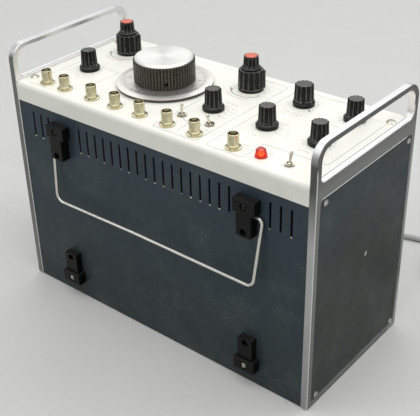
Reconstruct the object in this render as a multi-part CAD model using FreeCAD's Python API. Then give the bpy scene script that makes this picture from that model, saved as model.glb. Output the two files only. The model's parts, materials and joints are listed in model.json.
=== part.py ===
import FreeCAD, Part
import math
import os

# A bench function generator, standing on its rear end with its control panel facing up.
# Millimetres. X runs along the panel, Y from the underside's feet to the top cover, Z up.
# Y is measured from the near edge of the side frames while building, and every piece is moved
# at export so that the origin is under the middle of the whole set, feet included.

V = FreeCAD.Vector

# ---- case ----
WIDTH = 370.0
DEPTH = 164.5
HEIGHT = 275.0
FRAME_T = 7.5
FRAME_BAR = 6.0
HANDLE_BAR = 4.8
HANDLE_FLOOR = 240.3
PANEL_TOP = 238.0
PANEL_T = 3.0
BEZEL_LOW = 218.6
BEZEL_R = 5.0
SHEET_T = 1.5
COVER_INSET = 1.0
COVER_LOW = 1.0
REAR_PANEL_Z = 40.0
REAR_PANEL_T = 2.0
SUB_PANEL_Z = 222.0
RAIL_Y = 10.0
RAIL_Z = 8.0
FIT = 0.1
FRAME_EDGE = 0.6
FRAME_CORNERS = (2.5, 2.5, 16.0, 16.0)
LOOP_CORNERS = (4.5, 8.0, 12.0, 12.0)

# ---- side covers and the recess that holds them ----
RECESS_NEAR = 6.0
RECESS_FAR = 159.5
RECESS_TOP = 224.2
RECESS_DEEP = 4.0
RECESS_CORNERS = (4.0, 4.0, 6.0, 6.0)
SIDE_COVER_T = 2.8
SIDE_COVER_EDGE = 0.5
LEDGE = 14.0
LEDGE_CORNER = 6.0
SIDE_SCREW_Y = (15.6, 154.8)
SIDE_SCREW_Z = (9.6, 218.0)

# ---- feet and tilt bail ----
FOOT_X = 117.5
FOOT_HEAD = (24.0, 13.5)
FOOT_TAIL = (16.5, 23.5)
FOOT_REACH = 10.0
LOW_TAIL_REACH = 7.5
UPPER_FOOT_TOP = 207.5
LOWER_FOOT_LOW = 19.0
FOOT_HOLE_IN = 6.5
WIRE_R = 1.6
BAIL_PIVOT = (-1.5, 190.5)
BAIL_LOW = (-7.2, 120.6)
BAIL_PIN_IN = 119.5
BAIL_TOPS = (-128.4, 133.2)
BAIL_CORNERS = (-126.3, 127.2)
BAIL_KINK = (-20.0, 1.4)
BAIL_BENDS = (2.3, 8.5, 60.0, 8.5, 5.0)
FOOT_CORNER = 1.2
FOOT_EDGE = 0.7
FOOT_HEAD_SEAT = 7.6
FOOT_TAIL_SEAT = 4.5
FOOT_TAIL_HOLE_IN = 5.0
COUNTERBORE_R = 3.6

# ---- vent slots, one row in each long cover, with gaps where the feet stand ----
VENT_W = 2.4
VENT_L = 26.5
VENT_LOW = 183.0
VENT_PITCH = 11.0
VENT_SHIFT = 1.5
VENT_COLUMNS = [k for k in range(-14, 16) if k not in (-11, -10, -9, 10, 11, 12)]

# ---- rear panel, (x, y), and the notch beside it ----
GLAND = (70.0, 120.0)
GLAND_HOLE_R = 5.5
FUSE = (20.0, 120.0)
FUSE_HOLE_R = 6.2
REAR_SCREWS = [(x, y) for x in (-165.0, 165.0) for y in (7.5, 157.0)]
NOTCH_HALF = 16.0
NOTCH_TOP = 28.0

# ---- screws ----
SCREW_SHANK_R = 1.5
SCREW_HOLE_R = 1.7
TAPPED_HOLE_R = 1.6

# ---- panel layout, (x, y) ----
BNC_X = (-148.5, -123.0, -85.5, -54.0, -22.0, 12.0, 44.5, 88.0)
BNC_Y = 16.5
TOGGLES = (("left_mode_toggle", 10.0, 39.5, 0.0), ("right_mode_toggle", 43.3, 39.2, 17.0),
           ("power_toggle", 144.2, 20.0, -17.0))
LAMP = (116.8, 17.7)
DIAL = (-52.3, 86.2)
ROW_LOW = 67.4
ROW_HIGH = 126.1
COLUMNS = (-140.0, 25.0, 87.0, 142.7)
KNOBS = (("trigger", COLUMNS[0], ROW_LOW, 8.4), ("function", COLUMNS[1], ROW_LOW, 8.4),
         ("attenuator", COLUMNS[2], ROW_LOW, 8.4), ("symmetry", COLUMNS[2], ROW_HIGH, 9.7),
         ("offset", COLUMNS[3], ROW_LOW, 8.4), ("output", COLUMNS[3], ROW_HIGH, 8.4))
DUALS = (("range", COLUMNS[0], ROW_HIGH), ("sweep", COLUMNS[1], ROW_HIGH))
PANEL_SCREWS = [(x, y) for x in (-171.0, 171.0) for y in (19.5, 142.0)]

# ---- controls ----
SHAFT_R = 3.0
FINE_SHAFT_R = 1.5
BUSHING_R = 4.7
POT_R = 12.0
POT_LOW = 204.0
DIAL_R = 48.6
DIAL_LIFT = 3.3
DIAL_DISK_T = 1.6
DIAL_BEVEL = 6.0
DIAL_KNOB_R = 30.8
DIAL_KNOB_TOP = 265.2
DIAL_RIBS = 60
DIAL_SCREW_TURNS = (-105.0, 5.0)
DIAL_SCREW_R = 35.0
SET_SCREW_TURN = -45.0
SET_SCREW_UP = 6.5
KNOB_LIFT = 0.3
KNOB_H = 21.2
KNOB_BORE = 14.1
KNOB_FLUTES = 12
KNOB_TAPER = 0.065
SKIRT_R = 10.6
COARSE_R = 12.8
COARSE_H = 21.2
COARSE_FLUTES = 14
POINTER_REACH = 14.3
POINTER_TURN = 25.0
FINE_LOW = 260.0
FINE_H = 13.0
FINE_BORE = 9.1
CAP_R = 6.1
CAP_SINK = 1.0
TOGGLE_PIVOT = PANEL_TOP + 0.6
TOGGLE_BALL_R = 2.1
TOGGLE_PIN_R = 0.6
TOGGLE_PIN_HALF = 2.15
LEVER_TIP = 11.3
TOGGLE_BUSHING_R = 3.0
TOGGLE_BUSHING_UP = 2.4
LAMP_R = 4.4
LAMP_LENS_R = 5.6
LAMP_LENS_H = 7.4
LAMP_FLANGE_T = 0.5
BNC_R = 5.2
BNC_TALL = 14.2
BNC_THREAD_R = 4.7
BNC_BORE_R = 4.4
BNC_FLANGE_R = 7.5
BNC_STUD_UP = 9.6

# ---- inside ----
CORE_LOW = (-150.0, 55.0, 54.0)
CORE_HIGH = (-86.0, 105.0, 108.0)
CORE_WINDOW = (-138.0, 66.0, -98.0, 96.0)
WINDING_Y = (46.0, 114.0)
BOARD_Y = 138.0
BOARD_T = 1.6
BOARD_HALF = 160.0
BOARD_Z = (62.0, 200.0)
CAPACITOR_X = (-60.0, -36.0)
CAPACITOR_Z = 90.0
CAPACITOR_R = 9.0
CAPACITOR_L = 32.0
SINK_LOW = (30.0, 114.0, 80.0)
SINK_WIDE = 60.0
SINK_BASE = 4.0
FIN_T = 3.0
FIN_TALL = 40.0
FIN_COUNT = 6

# ---- mains cord ----
CORD_R = 3.25
CORD_REST = CORD_R + 0.05
RELIEF_END = (70.0, 156.0, 18.0)
RELIEF_R = 6.2
RELIEF_BEND = 13.0
RELIEF_RUN = 18.0
COIL_CENTRE = (208.0, 294.0)
COIL_TURNS = (35.0, 41.5)
COIL_LAYERS = 3
PLUG_AXIS = (249.5, 14.05)
PLUG_TAIL_Y = 288.0
PIN_HALF_GAP = 9.5
CORD_ROUTE = [
    (70.0, 156.0, 18.0), (70.0, 182.0, 18.0), (71.0, 217.0, 8.6), (74.0, 251.0, 3.3),
    (81.0, 289.0, 3.3), (101.0, 313.5, 3.3), (145.0, 323.5, 3.3), (174.0, 330.5, 3.3),
    (195.0, 333.0, 3.3)]

Y_MID = (DEPTH + COVER_INSET - FOOT_REACH) / 2
HALF = WIDTH / 2
INNER = HALF - FRAME_T
COVER_TOP = BEZEL_LOW - 0.2


# ---------------------------------------------------------------- helpers
def save(node, solids):
    """Write one node, moved so that the origin is under the middle of the set."""
    shape = solids[0].copy() if len(solids) == 1 else Part.makeCompound(solids)
    shape.translate(V(0, -Y_MID, 0))
    shape.exportStep(f"parts/{node}.step")


def rounded_wire(corners, radii, place):
    """Closed wire through plane corners, each rounded by its radius; place gives the Vector."""
    points = [V(a, b, 0) for a, b in corners]
    spans = []
    for index, here in enumerate(points):
        back = (points[index - 1] - here).normalize()
        ahead = (points[(index + 1) % len(points)] - here).normalize()
        half = back.getAngle(ahead) / 2
        radius = radii[index]
        inward = (back + ahead).normalize() if radius else V(0, 0, 0)
        middle = here + inward * (radius / math.sin(half) - radius)
        cut = radius / math.tan(half)
        spans.append((here + back * cut, middle, here + ahead * cut, radius))
    edges = []
    for index, (start, middle, end, radius) in enumerate(spans):
        if radius:
            edges.append(Part.Arc(*(place(p.x, p.y) for p in (start, middle, end))).toShape())
        following = spans[(index + 1) % len(spans)][0]
        if (following - end).Length > 1e-6:
            edges.append(Part.LineSegment(place(end.x, end.y), place(following.x, following.y)).toShape())
    return Part.Wire(edges)


def box_corners(low_a, low_b, high_a, high_b):
    return [(low_a, low_b), (high_a, low_b), (high_a, high_b), (low_a, high_b)]


def plate_x(corners, radii, x0, x1):
    wire = rounded_wire(corners, radii, lambda a, b: V(x0, a, b))
    return Part.Face(wire).extrude(V(x1 - x0, 0, 0))


def plate_y(corners, radii, y0, y1):
    wire = rounded_wire(corners, radii, lambda a, b: V(a, y0, b))
    return Part.Face(wire).extrude(V(0, y1 - y0, 0))


def plate_z(corners, radii, z0, z1):
    wire = rounded_wire(corners, radii, lambda a, b: V(a, b, z0))
    return Part.Face(wire).extrude(V(0, 0, z1 - z0))


def block(low, high):
    return Part.makeBox(high[0] - low[0], high[1] - low[1], high[2] - low[2], V(*low))


def post(x, y, z0, z1, radius):
    return Part.makeCylinder(radius, z1 - z0, V(x, y, z0))


def turned(x, y, z, profile):
    """Solid of revolution about a vertical axis; profile is a list of (radius, height over z)."""
    points = [V(x + radius, y, z + height) for radius, height in profile]
    face = Part.Face(Part.makePolygon(points + points[:1]))
    return face.revolve(V(x, y, z), V(0, 0, 1), 360)


def hexagon(x, y, z0, z1, across):
    reach = across / math.sqrt(3)
    corners = [(x + reach * math.cos(math.radians(60 * k)), y + reach * math.sin(math.radians(60 * k)))
               for k in range(6)]
    return plate_z(corners, [0] * 6, z0, z1)


def aim(shape, spot, direction):
    """Turn a shape made along +Z to the direction and move it to the spot."""
    placed = shape.copy()
    placed.Placement = FreeCAD.Placement(V(*spot), FreeCAD.Rotation(V(0, 0, 1), V(*direction)))
    return placed


def slotted_screw(head_r, head_h, shank_r, shank_l):
    """Round-head screw along +Z with its seat at zero."""
    profile = [(0, -shank_l), (shank_r, -shank_l), (shank_r, 0), (head_r, 0),
               (head_r, head_h * 0.4), (head_r * 0.72, head_h), (0, head_h)]
    slot = block((-head_r, -0.4, head_h * 0.45), (head_r, 0.4, head_h + 1))
    return turned(0, 0, 0, profile).cut(slot)


def rounded_path(points, share=None, radii=None):
    """Straight runs joined by tangent arcs: fixed radii, or a share of the shorter run."""
    nodes = [V(*p) for p in points]
    edges = []
    used = []
    start = nodes[0]
    for index in range(1, len(nodes) - 1):
        here = nodes[index]
        back = nodes[index - 1] - here
        ahead = nodes[index + 1] - here
        half_turn = (math.pi - back.getAngle(ahead)) / 2
        shorter = min(back.Length, ahead.Length)
        radius = radii[index - 1] if radii else share * shorter / math.tan(half_turn)
        cut = radius * math.tan(half_turn)
        used.append(radius)
        back.normalize()
        ahead.normalize()
        inward = (back + ahead).normalize()
        middle = here + inward * (radius / math.cos(half_turn) - radius)
        first = here + back * cut
        last = here + ahead * cut
        edges.append(Part.LineSegment(start, first).toShape())
        edges.append(Part.Arc(first, middle, last).toShape())
        start = last
    edges.append(Part.LineSegment(start, nodes[-1]).toShape())
    return Part.Wire(edges), used


def tube(path, radius):
    """Round rod swept along a smooth wire."""
    start = path.Edges[0]
    ring = Part.Wire(Part.makeCircle(radius, start.valueAt(start.FirstParameter),
                                     start.tangentAt(start.FirstParameter)))
    return path.makePipeShell([ring], True, True)


# ---------------------------------------------------------------- case
def side_frame(side):
    """Cast side frame with its handle loop; the rear end stands on the floor."""
    ring = plate_x(box_corners(0, 0, DEPTH, HEIGHT), FRAME_CORNERS, INNER, HALF)
    loop = plate_x(box_corners(FRAME_BAR, HANDLE_FLOOR, DEPTH - FRAME_BAR, HEIGHT - HANDLE_BAR),
                   LOOP_CORNERS, INNER - 1, HALF + 1)
    ring = ring.cut(loop)
    rims = [e for e in ring.Edges if min(abs(e.BoundBox.XMin - x) + abs(e.BoundBox.XMax - x)
                                         for x in (INNER, HALF)) < 1e-3]
    ring = ring.makeChamfer(FRAME_EDGE, rims)
    floor = HALF - RECESS_DEEP
    recess = plate_x(box_corners(RECESS_NEAR, RECESS_NEAR, RECESS_FAR, RECESS_TOP), RECESS_CORNERS,
                     floor, HALF + 1)
    window = plate_x(box_corners(RECESS_NEAR + LEDGE, RECESS_NEAR + LEDGE, RECESS_FAR - LEDGE,
                                 RECESS_TOP - LEDGE), [LEDGE_CORNER] * 4, INNER - 1, HALF)
    frame = ring.cut(recess).cut(window)
    for y in SIDE_SCREW_Y:
        for z in SIDE_SCREW_Z:
            frame = frame.cut(Part.makeCylinder(TAPPED_HOLE_R, FRAME_T, V(INNER - 1, y, z), V(1, 0, 0)))
    return frame if side > 0 else frame.mirror(V(0, 0, 0), V(1, 0, 0))


def side_cover(side):
    floor = HALF - RECESS_DEEP
    low = RECESS_NEAR + 0.2
    cover = plate_x(box_corners(low, low, RECESS_FAR - 0.2, RECESS_TOP - 0.2), RECESS_CORNERS,
                    floor, floor + SIDE_COVER_T)
    rims = [e for e in cover.Edges if abs(e.BoundBox.XMin - floor - SIDE_COVER_T) < 1e-3]
    cover = cover.makeChamfer(SIDE_COVER_EDGE, rims)
    for y in SIDE_SCREW_Y:
        for z in SIDE_SCREW_Z:
            cover = cover.cut(Part.makeCylinder(SCREW_HOLE_R, FRAME_T, V(floor - 1, y, z), V(1, 0, 0)))
    return cover if side > 0 else cover.mirror(V(0, 0, 0), V(1, 0, 0))


def case_screws():
    """Screws of the side covers and, from below, of the rear panel."""
    side_screw = slotted_screw(3.0, 1.1, SCREW_SHANK_R, 6.0)
    seat = HALF - RECESS_DEEP + SIDE_COVER_T
    screws = [aim(side_screw, (side * seat, y, z), (side, 0, 0))
              for side in (-1, 1) for y in SIDE_SCREW_Y for z in SIDE_SCREW_Z]
    rear_screw = slotted_screw(3.0, 1.6, SCREW_SHANK_R, 1.9)
    return screws + [aim(rear_screw, (x, y, REAR_PANEL_Z), (0, 0, -1)) for x, y in REAR_SCREWS]


def front_panel():
    """Channel-shaped panel with rounded long edges, drilled for every control."""
    half = INNER - FIT
    outer = plate_x(box_corners(0, BEZEL_LOW, DEPTH, PANEL_TOP), (0, 0, BEZEL_R, BEZEL_R), -half, half)
    inside = plate_x(box_corners(PANEL_T, BEZEL_LOW - 1, DEPTH - PANEL_T, PANEL_TOP - PANEL_T),
                     (0, 0, 2, 2), -half - 1, half + 1)
    panel = outer.cut(inside)
    drills = [(x, BNC_Y, BNC_R) for x in BNC_X]
    drills += [(x, y, BUSHING_R + FIT) for name, x, y, size in KNOBS]
    drills += [(x, y, BUSHING_R + FIT) for name, x, y in DUALS]
    drills += [(x, y, TOGGLE_BUSHING_R + FIT) for name, x, y, lean in TOGGLES]
    drills += [(x, y, SCREW_HOLE_R) for x, y in PANEL_SCREWS]
    drills += [(LAMP[0], LAMP[1], LAMP_R + 0.2), (DIAL[0], DIAL[1], BUSHING_R + FIT)]
    holes = [post(x, y, BEZEL_LOW, PANEL_TOP + 1, radius) for x, y, radius in drills]
    return panel.cut(Part.makeCompound(holes))


def panel_screws():
    screw = slotted_screw(2.8, 1.3, SCREW_SHANK_R, 9.0)
    return [aim(screw, (x, y, PANEL_TOP + 0.9), (0, 0, 1)) for x, y in PANEL_SCREWS]


def cup_washers():
    bore = SCREW_HOLE_R
    profile = [(bore, 0), (4.6, 0), (4.6, 0.4), (3.4, 1.5), (2.9, 1.5), (2.9, 0.9), (bore, 0.9)]
    return [turned(x, y, PANEL_TOP, profile) for x, y in PANEL_SCREWS]


def vent_slots(y):
    """Cutters for the row of tall slots under the panel."""
    slots = []
    for k in VENT_COLUMNS:
        x = (k - 0.5) * VENT_PITCH + VENT_SHIFT
        corners = box_corners(x - VENT_W / 2, VENT_LOW, x + VENT_W / 2, VENT_LOW + VENT_L)
        slots.append(plate_y(corners, [1.0] * 4, y - 5, y + 5))
    return Part.makeCompound(slots)


def foot_spots():
    """Each foot's middle x, the z of its head end and the way its tail points."""
    return {"left_upper_foot": (-FOOT_X, UPPER_FOOT_TOP, -1),
            "right_upper_foot": (FOOT_X, UPPER_FOOT_TOP, -1),
            "left_lower_foot": (-FOOT_X, LOWER_FOOT_LOW, 1),
            "right_lower_foot": (FOOT_X, LOWER_FOOT_LOW, 1)}


def foot_holes(way, end):
    """Heights of a foot's two screw holes."""
    span = FOOT_HEAD[1] + FOOT_TAIL[1]
    return end + way * FOOT_HOLE_IN, end + way * (span - FOOT_TAIL_HOLE_IN)


def bottom_cover():
    half = INNER - 0.2
    cover = block((-half, COVER_INSET, COVER_LOW), (half, COVER_INSET + SHEET_T, COVER_TOP))
    cover = cover.cut(vent_slots(COVER_INSET))
    for x, end, way in foot_spots().values():
        for z in foot_holes(way, end):
            cover = cover.cut(Part.makeCylinder(SCREW_HOLE_R, 6, V(x, COVER_INSET - 2, z), V(0, 1, 0)))
    return cover


def top_cover():
    """Cover opposite the feet, notched at its rear edge so that the cord can leave."""
    half = INNER - 0.2
    face = DEPTH - COVER_INSET
    cover = block((-half, face - SHEET_T, COVER_LOW), (half, face, COVER_TOP))
    cover = cover.cut(vent_slots(face))
    low, high = GLAND[0] - NOTCH_HALF, GLAND[0] + NOTCH_HALF
    notch = plate_y(box_corners(low, COVER_LOW - 6, high, NOTCH_TOP), [4] * 4, face - 5, face + 5)
    return cover.cut(notch)


def cross_rails():
    """Four bars that tie the two side frames together behind the covers' edges."""
    near = COVER_INSET + SHEET_T
    far = DEPTH - COVER_INSET - SHEET_T - RAIL_Y
    heights = (REAR_PANEL_Z + REAR_PANEL_T, COVER_TOP - RAIL_Z)
    return [block((-INNER, y, z), (INNER, y + RAIL_Y, z + RAIL_Z)) for y in (near, far) for z in heights]


def rear_panel():
    near = COVER_INSET + SHEET_T
    half = INNER - 0.2
    panel = block((-half, near, REAR_PANEL_Z), (half, DEPTH - near, REAR_PANEL_Z + REAR_PANEL_T))
    places = [(*GLAND, GLAND_HOLE_R), (*FUSE, FUSE_HOLE_R)]
    places += [(x, y, SCREW_HOLE_R) for x, y in REAR_SCREWS]
    holes = [post(x, y, REAR_PANEL_Z - 1, REAR_PANEL_Z + 5, radius) for x, y, radius in places]
    return panel.cut(Part.makeCompound(holes))


def sub_panel():
    """Inner plate that carries the shafts' bushings, below the front panel."""
    plate = block((-INNER + 4, 4, SUB_PANEL_Z), (INNER - 4, DEPTH - 4, SUB_PANEL_Z + SHEET_T))
    places = [(x, y, BUSHING_R + FIT) for name, x, y, size in KNOBS]
    places += [(x, y, BUSHING_R + FIT) for name, x, y in DUALS]
    places += [(x, BNC_Y, 9.0) for x in BNC_X]
    places += [(x, y, 8.0) for name, x, y, lean in TOGGLES]
    places += [(LAMP[0], LAMP[1], 6.0), (DIAL[0], DIAL[1], BUSHING_R + FIT)]
    holes = [post(x, y, SUB_PANEL_Z - 1, SUB_PANEL_Z + 3, radius) for x, y, radius in places]
    return plate.cut(Part.makeCompound(holes))


# ---------------------------------------------------------------- feet and bail
def foot(x, end, way):
    """T-shaped moulded foot: a wide head, a narrower tail and two counterbored holes."""
    head_half = FOOT_HEAD[0] / 2
    tail_half = FOOT_TAIL[0] / 2
    low, high = sorted((end, end + way * FOOT_HEAD[1]))
    back = COVER_INSET
    head = plate_y(box_corners(x - head_half, low, x + head_half, high), [FOOT_CORNER] * 4,
                   back - FOOT_REACH, back)
    reach = FOOT_REACH if way < 0 else LOW_TAIL_REACH
    span = FOOT_HEAD[1] + FOOT_TAIL[1]
    tail_low, tail_high = sorted((end + way * (FOOT_HEAD[1] - 2), end + way * span))
    tail = plate_y(box_corners(x - tail_half, tail_low, x + tail_half, tail_high), [FOOT_CORNER] * 4,
                   back - reach, back)
    body = head.fuse(tail).removeSplitter()
    rims = [e for e in body.Edges if abs(e.BoundBox.YMax - back + FOOT_REACH) < 1e-3]
    body = body.makeChamfer(FOOT_EDGE, rims)
    for z, seat in zip(foot_holes(way, end), (FOOT_HEAD_SEAT, FOOT_TAIL_SEAT)):
        outside = V(x, back - 2 * FOOT_REACH, z)
        body = body.cut(Part.makeCylinder(COUNTERBORE_R, 2 * FOOT_REACH - seat, outside, V(0, 1, 0)))
        body = body.cut(Part.makeCylinder(SCREW_HOLE_R, 3 * FOOT_REACH, outside, V(0, 1, 0)))
    if way < 0:
        pivot = Part.makeCylinder(WIRE_R + FIT, head_half, V(BAIL_PIN_IN - 1, *BAIL_PIVOT), V(1, 0, 0))
        body = body.cut(pivot if x > 0 else pivot.mirror(V(0, 0, 0), V(1, 0, 0)))
    return body


def foot_screws():
    """The upper feet take two screws each, the lower feet one in the head."""
    screws = []
    for x, end, way in foot_spots().values():
        holes = list(zip(foot_holes(way, end), (FOOT_HEAD_SEAT, FOOT_TAIL_SEAT)))
        for z, seat in holes if way < 0 else holes[:1]:
            screw = slotted_screw(3.3, 1.8, SCREW_SHANK_R, seat + 4.5)
            screws.append(aim(screw, (x, COVER_INSET - seat, z), (0, -1, 0)))
    return screws


def tilt_bail():
    """Bent wire that props the instrument up; its ends turn in the upper feet."""
    left = [(-BAIL_PIN_IN, *BAIL_PIVOT), (BAIL_TOPS[0], *BAIL_PIVOT), (BAIL_CORNERS[0], *BAIL_LOW)]
    right = [(BAIL_CORNERS[1], *BAIL_LOW), (BAIL_TOPS[1], *BAIL_PIVOT), (BAIL_PIN_IN, *BAIL_PIVOT)]
    kink = (BAIL_KINK[0], BAIL_LOW[0], BAIL_LOW[1] + BAIL_KINK[1])
    path, _ = rounded_path(left + [kink] + right, radii=BAIL_BENDS)
    return tube(path, WIRE_R)


# ---------------------------------------------------------------- knobs and dial
def fluted(knob, x, y, low, high, radius, groove_r, count, taper=0.0):
    """Cut a ring of grooves into a turned knob, leaning inwards by the taper."""
    cutters = []
    for k in range(count):
        turn = 2 * math.pi * k / count
        out_x, out_y = math.cos(turn), math.sin(turn)
        start = V(x + radius * out_x, y + radius * out_y, low)
        cutters.append(Part.makeCylinder(groove_r, high - low, start, V(-taper * out_x, -taper * out_y, 1)))
    return knob.cut(Part.makeCompound(cutters))


def single_knob(x, y, size):
    """Skirted, fluted knob with a bore for its shaft."""
    base = PANEL_TOP + KNOB_LIFT
    profile = [(0, 0), (SKIRT_R - 0.3, 0), (SKIRT_R, 0.3), (SKIRT_R, 3.2), (SKIRT_R - 0.7, 4.1),
               (size + 0.5, 4.8), (size, 6.0), (size - 0.7, KNOB_H - 0.6), (size - 1.3, KNOB_H), (0, KNOB_H)]
    knob = fluted(turned(x, y, base, profile), x, y, base + 4.6, base + 30, size + 0.55, 1.6, KNOB_FLUTES,
                  KNOB_TAPER)
    return knob.cut(post(x, y, base - 1, base + KNOB_BORE, SHAFT_R + 0.05))


def coarse_knob(x, y):
    """Lower knob of a dual control, fluted, with a pointer rib on one side."""
    base = PANEL_TOP + KNOB_LIFT
    radius = COARSE_R
    profile = [(0, 0), (radius - 0.4, 0), (radius, 0.4), (radius, 3.0), (radius - 0.3, COARSE_H - 1.2),
               (radius - 1.0, COARSE_H - 0.3), (radius - 1.7, COARSE_H), (0, COARSE_H)]
    knob = turned(x, y, base, profile)
    knob = fluted(knob, x, y, base + 2.8, base + 30, radius + 0.35, 1.85, COARSE_FLUTES)
    rib = block((9.0, -1.1, 2.5), (POINTER_REACH, 1.1, COARSE_H - 0.6))
    rib = rib.makeChamfer(0.4, [e for e in rib.Edges if abs(e.BoundBox.XMin - POINTER_REACH) < 1e-3])
    rib.rotate(V(0, 0, 0), V(0, 0, 1), POINTER_TURN)
    rib.translate(V(x, y, base))
    knob = knob.fuse(rib)
    knob = knob.cut(post(x, y, base - 1, base + KNOB_BORE - 1, SHAFT_R + 0.05))
    return knob.cut(post(x, y, base, base + 30, FINE_SHAFT_R + 0.4))


def fine_knob(x, y):
    """Upper knob of a dual control: flared foot, fluted body and a recess for its coloured cap."""
    profile = [(0, 0), (9.6, 0), (10.0, 0.5), (9.7, 1.4), (8.4, 2.3), (7.8, 3.4), (7.2, FINE_H - 0.5),
               (6.9, FINE_H), (0, FINE_H)]
    knob = fluted(turned(x, y, FINE_LOW, profile), x, y, FINE_LOW + 2.2, FINE_LOW + FINE_H - 1.4,
                  8.3, 1.35, KNOB_FLUTES, KNOB_TAPER)
    knob = knob.cut(post(x, y, FINE_LOW + FINE_H - CAP_SINK, FINE_LOW + 30, CAP_R + FIT))
    return knob.cut(post(x, y, FINE_LOW - 1, FINE_LOW + FINE_BORE, FINE_SHAFT_R + 0.05))


def knob_cap(x, y):
    profile = [(0, 0), (CAP_R, 0), (CAP_R, CAP_SINK), (CAP_R - 0.5, CAP_SINK + 0.5),
               (CAP_R / 2, CAP_SINK + 0.8), (0, CAP_SINK + 0.9)]
    return turned(x, y, FINE_LOW + FINE_H - CAP_SINK, profile)


def single_shaft(x, y):
    return post(x, y, POT_LOW + 4, PANEL_TOP + KNOB_LIFT + KNOB_BORE - 0.1, SHAFT_R)


def coarse_shaft(x, y):
    """Hollow outer shaft of a dual control."""
    sleeve = post(x, y, POT_LOW + 10, PANEL_TOP + KNOB_LIFT + KNOB_BORE - 1.1, SHAFT_R)
    return sleeve.cut(post(x, y, POT_LOW, PANEL_TOP + 40, FINE_SHAFT_R + 0.08))


def fine_shaft(x, y):
    return post(x, y, POT_LOW + 4, FINE_LOW + FINE_BORE - 0.1, FINE_SHAFT_R)


def control_bodies():
    """Potentiometers and rotary switches, each with the bushing that its shaft turns in."""
    bodies = []
    spots = [(x, y) for name, x, y, size in KNOBS] + [(x, y) for name, x, y in DUALS]
    for x, y in spots:
        bushing = post(x, y, SUB_PANEL_Z, PANEL_TOP + 0.2, BUSHING_R)
        body = post(x, y, POT_LOW, SUB_PANEL_Z, POT_R).fuse(bushing)
        bodies.append(body.cut(post(x, y, POT_LOW + 3.5, PANEL_TOP + 1, SHAFT_R + 0.08)))
    x, y = DIAL
    drive = post(x, y, 196, SUB_PANEL_Z, 23).fuse(post(x, y, SUB_PANEL_Z, PANEL_TOP + 0.2, BUSHING_R))
    bodies.append(drive.cut(post(x, y, 200, PANEL_TOP + 1, SHAFT_R + 0.08)))
    return bodies


def dial_disk():
    """Engraved disk with a bevelled rim, held above the panel."""
    x, y = DIAL
    base = PANEL_TOP + DIAL_LIFT
    bore = SHAFT_R + 0.05
    flat_r = DIAL_R - DIAL_BEVEL
    profile = [(bore, 0), (DIAL_R, 0), (DIAL_R, 0.5), (flat_r, DIAL_DISK_T), (bore, DIAL_DISK_T)]
    disk = turned(x, y, base, profile)
    for angle in DIAL_SCREW_TURNS:
        spot = dial_screw_spot(angle)
        disk = disk.cut(post(spot[0], spot[1], base - 1, base + 5, 1.1))
    return disk


def dial_screw_spot(angle):
    turn = math.radians(angle)
    return DIAL[0] + DIAL_SCREW_R * math.cos(turn), DIAL[1] + DIAL_SCREW_R * math.sin(turn)


def set_screw_way():
    turn = math.radians(SET_SCREW_TURN)
    return V(math.cos(turn), math.sin(turn), 0)


def dial_knob():
    """Wide ribbed knob with a cross hole for its set screw."""
    x, y = DIAL
    base = PANEL_TOP + DIAL_LIFT + DIAL_DISK_T
    step = 2 * math.pi / DIAL_RIBS
    edges = []
    for k in range(DIAL_RIBS):
        start, crest, valley = (k * step, (k + 0.55) * step, (k + 0.775) * step)
        spots = [(DIAL_KNOB_R, start), (DIAL_KNOB_R, (start + crest) / 2), (DIAL_KNOB_R, crest),
                 (DIAL_KNOB_R - 0.8, valley), (DIAL_KNOB_R, start + step)]
        ring = [V(x + r * math.cos(a), y + r * math.sin(a), base) for r, a in spots]
        edges.append(Part.Arc(ring[0], ring[1], ring[2]).toShape())
        edges.append(Part.Arc(ring[2], ring[3], ring[4]).toShape())
    height = DIAL_KNOB_TOP - base
    knob = Part.Face(Part.Wire(edges)).extrude(V(0, 0, height))
    trim = turned(x, y, base, [(0, 0), (DIAL_KNOB_R - 0.8, 0), (DIAL_KNOB_R + 0.2, 1.0),
                               (DIAL_KNOB_R + 0.2, height - 0.8), (DIAL_KNOB_R - 0.6, height), (0, height)])
    knob = knob.common(trim)
    hole = Part.makeCylinder(1.6, DIAL_KNOB_R + 2, V(x, y, base + SET_SCREW_UP), set_screw_way())
    return knob.cut(hole).cut(post(x, y, base - 1, base + KNOB_BORE, SHAFT_R + 0.05))


def dial_cap():
    """Spun metal top of the dial knob, with a stepped rim."""
    profile = [(0, 0), (29.4, 0), (29.4, 1.0), (28.4, 1.9), (27.4, 2.0), (26.9, 2.5), (0, 2.5)]
    return turned(DIAL[0], DIAL[1], DIAL_KNOB_TOP, profile)


def dial_screws():
    """Two screws that hold the disk to the knob's flange, and the knob's set screw."""
    screw = slotted_screw(1.9, 0.7, 1.0, 1.5)
    top = PANEL_TOP + DIAL_LIFT + DIAL_DISK_T
    parts = [aim(screw, (*dial_screw_spot(angle), top), (0, 0, 1)) for angle in DIAL_SCREW_TURNS]
    spot = V(DIAL[0], DIAL[1], top + SET_SCREW_UP) + set_screw_way() * (SHAFT_R + 0.1)
    parts.append(Part.makeCylinder(SCREW_SHANK_R, 16, spot, set_screw_way()))
    return parts


def dial_shaft():
    top = PANEL_TOP + DIAL_LIFT + DIAL_DISK_T + KNOB_BORE - 0.1
    return post(DIAL[0], DIAL[1], POT_LOW - 2, top, SHAFT_R)


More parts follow.
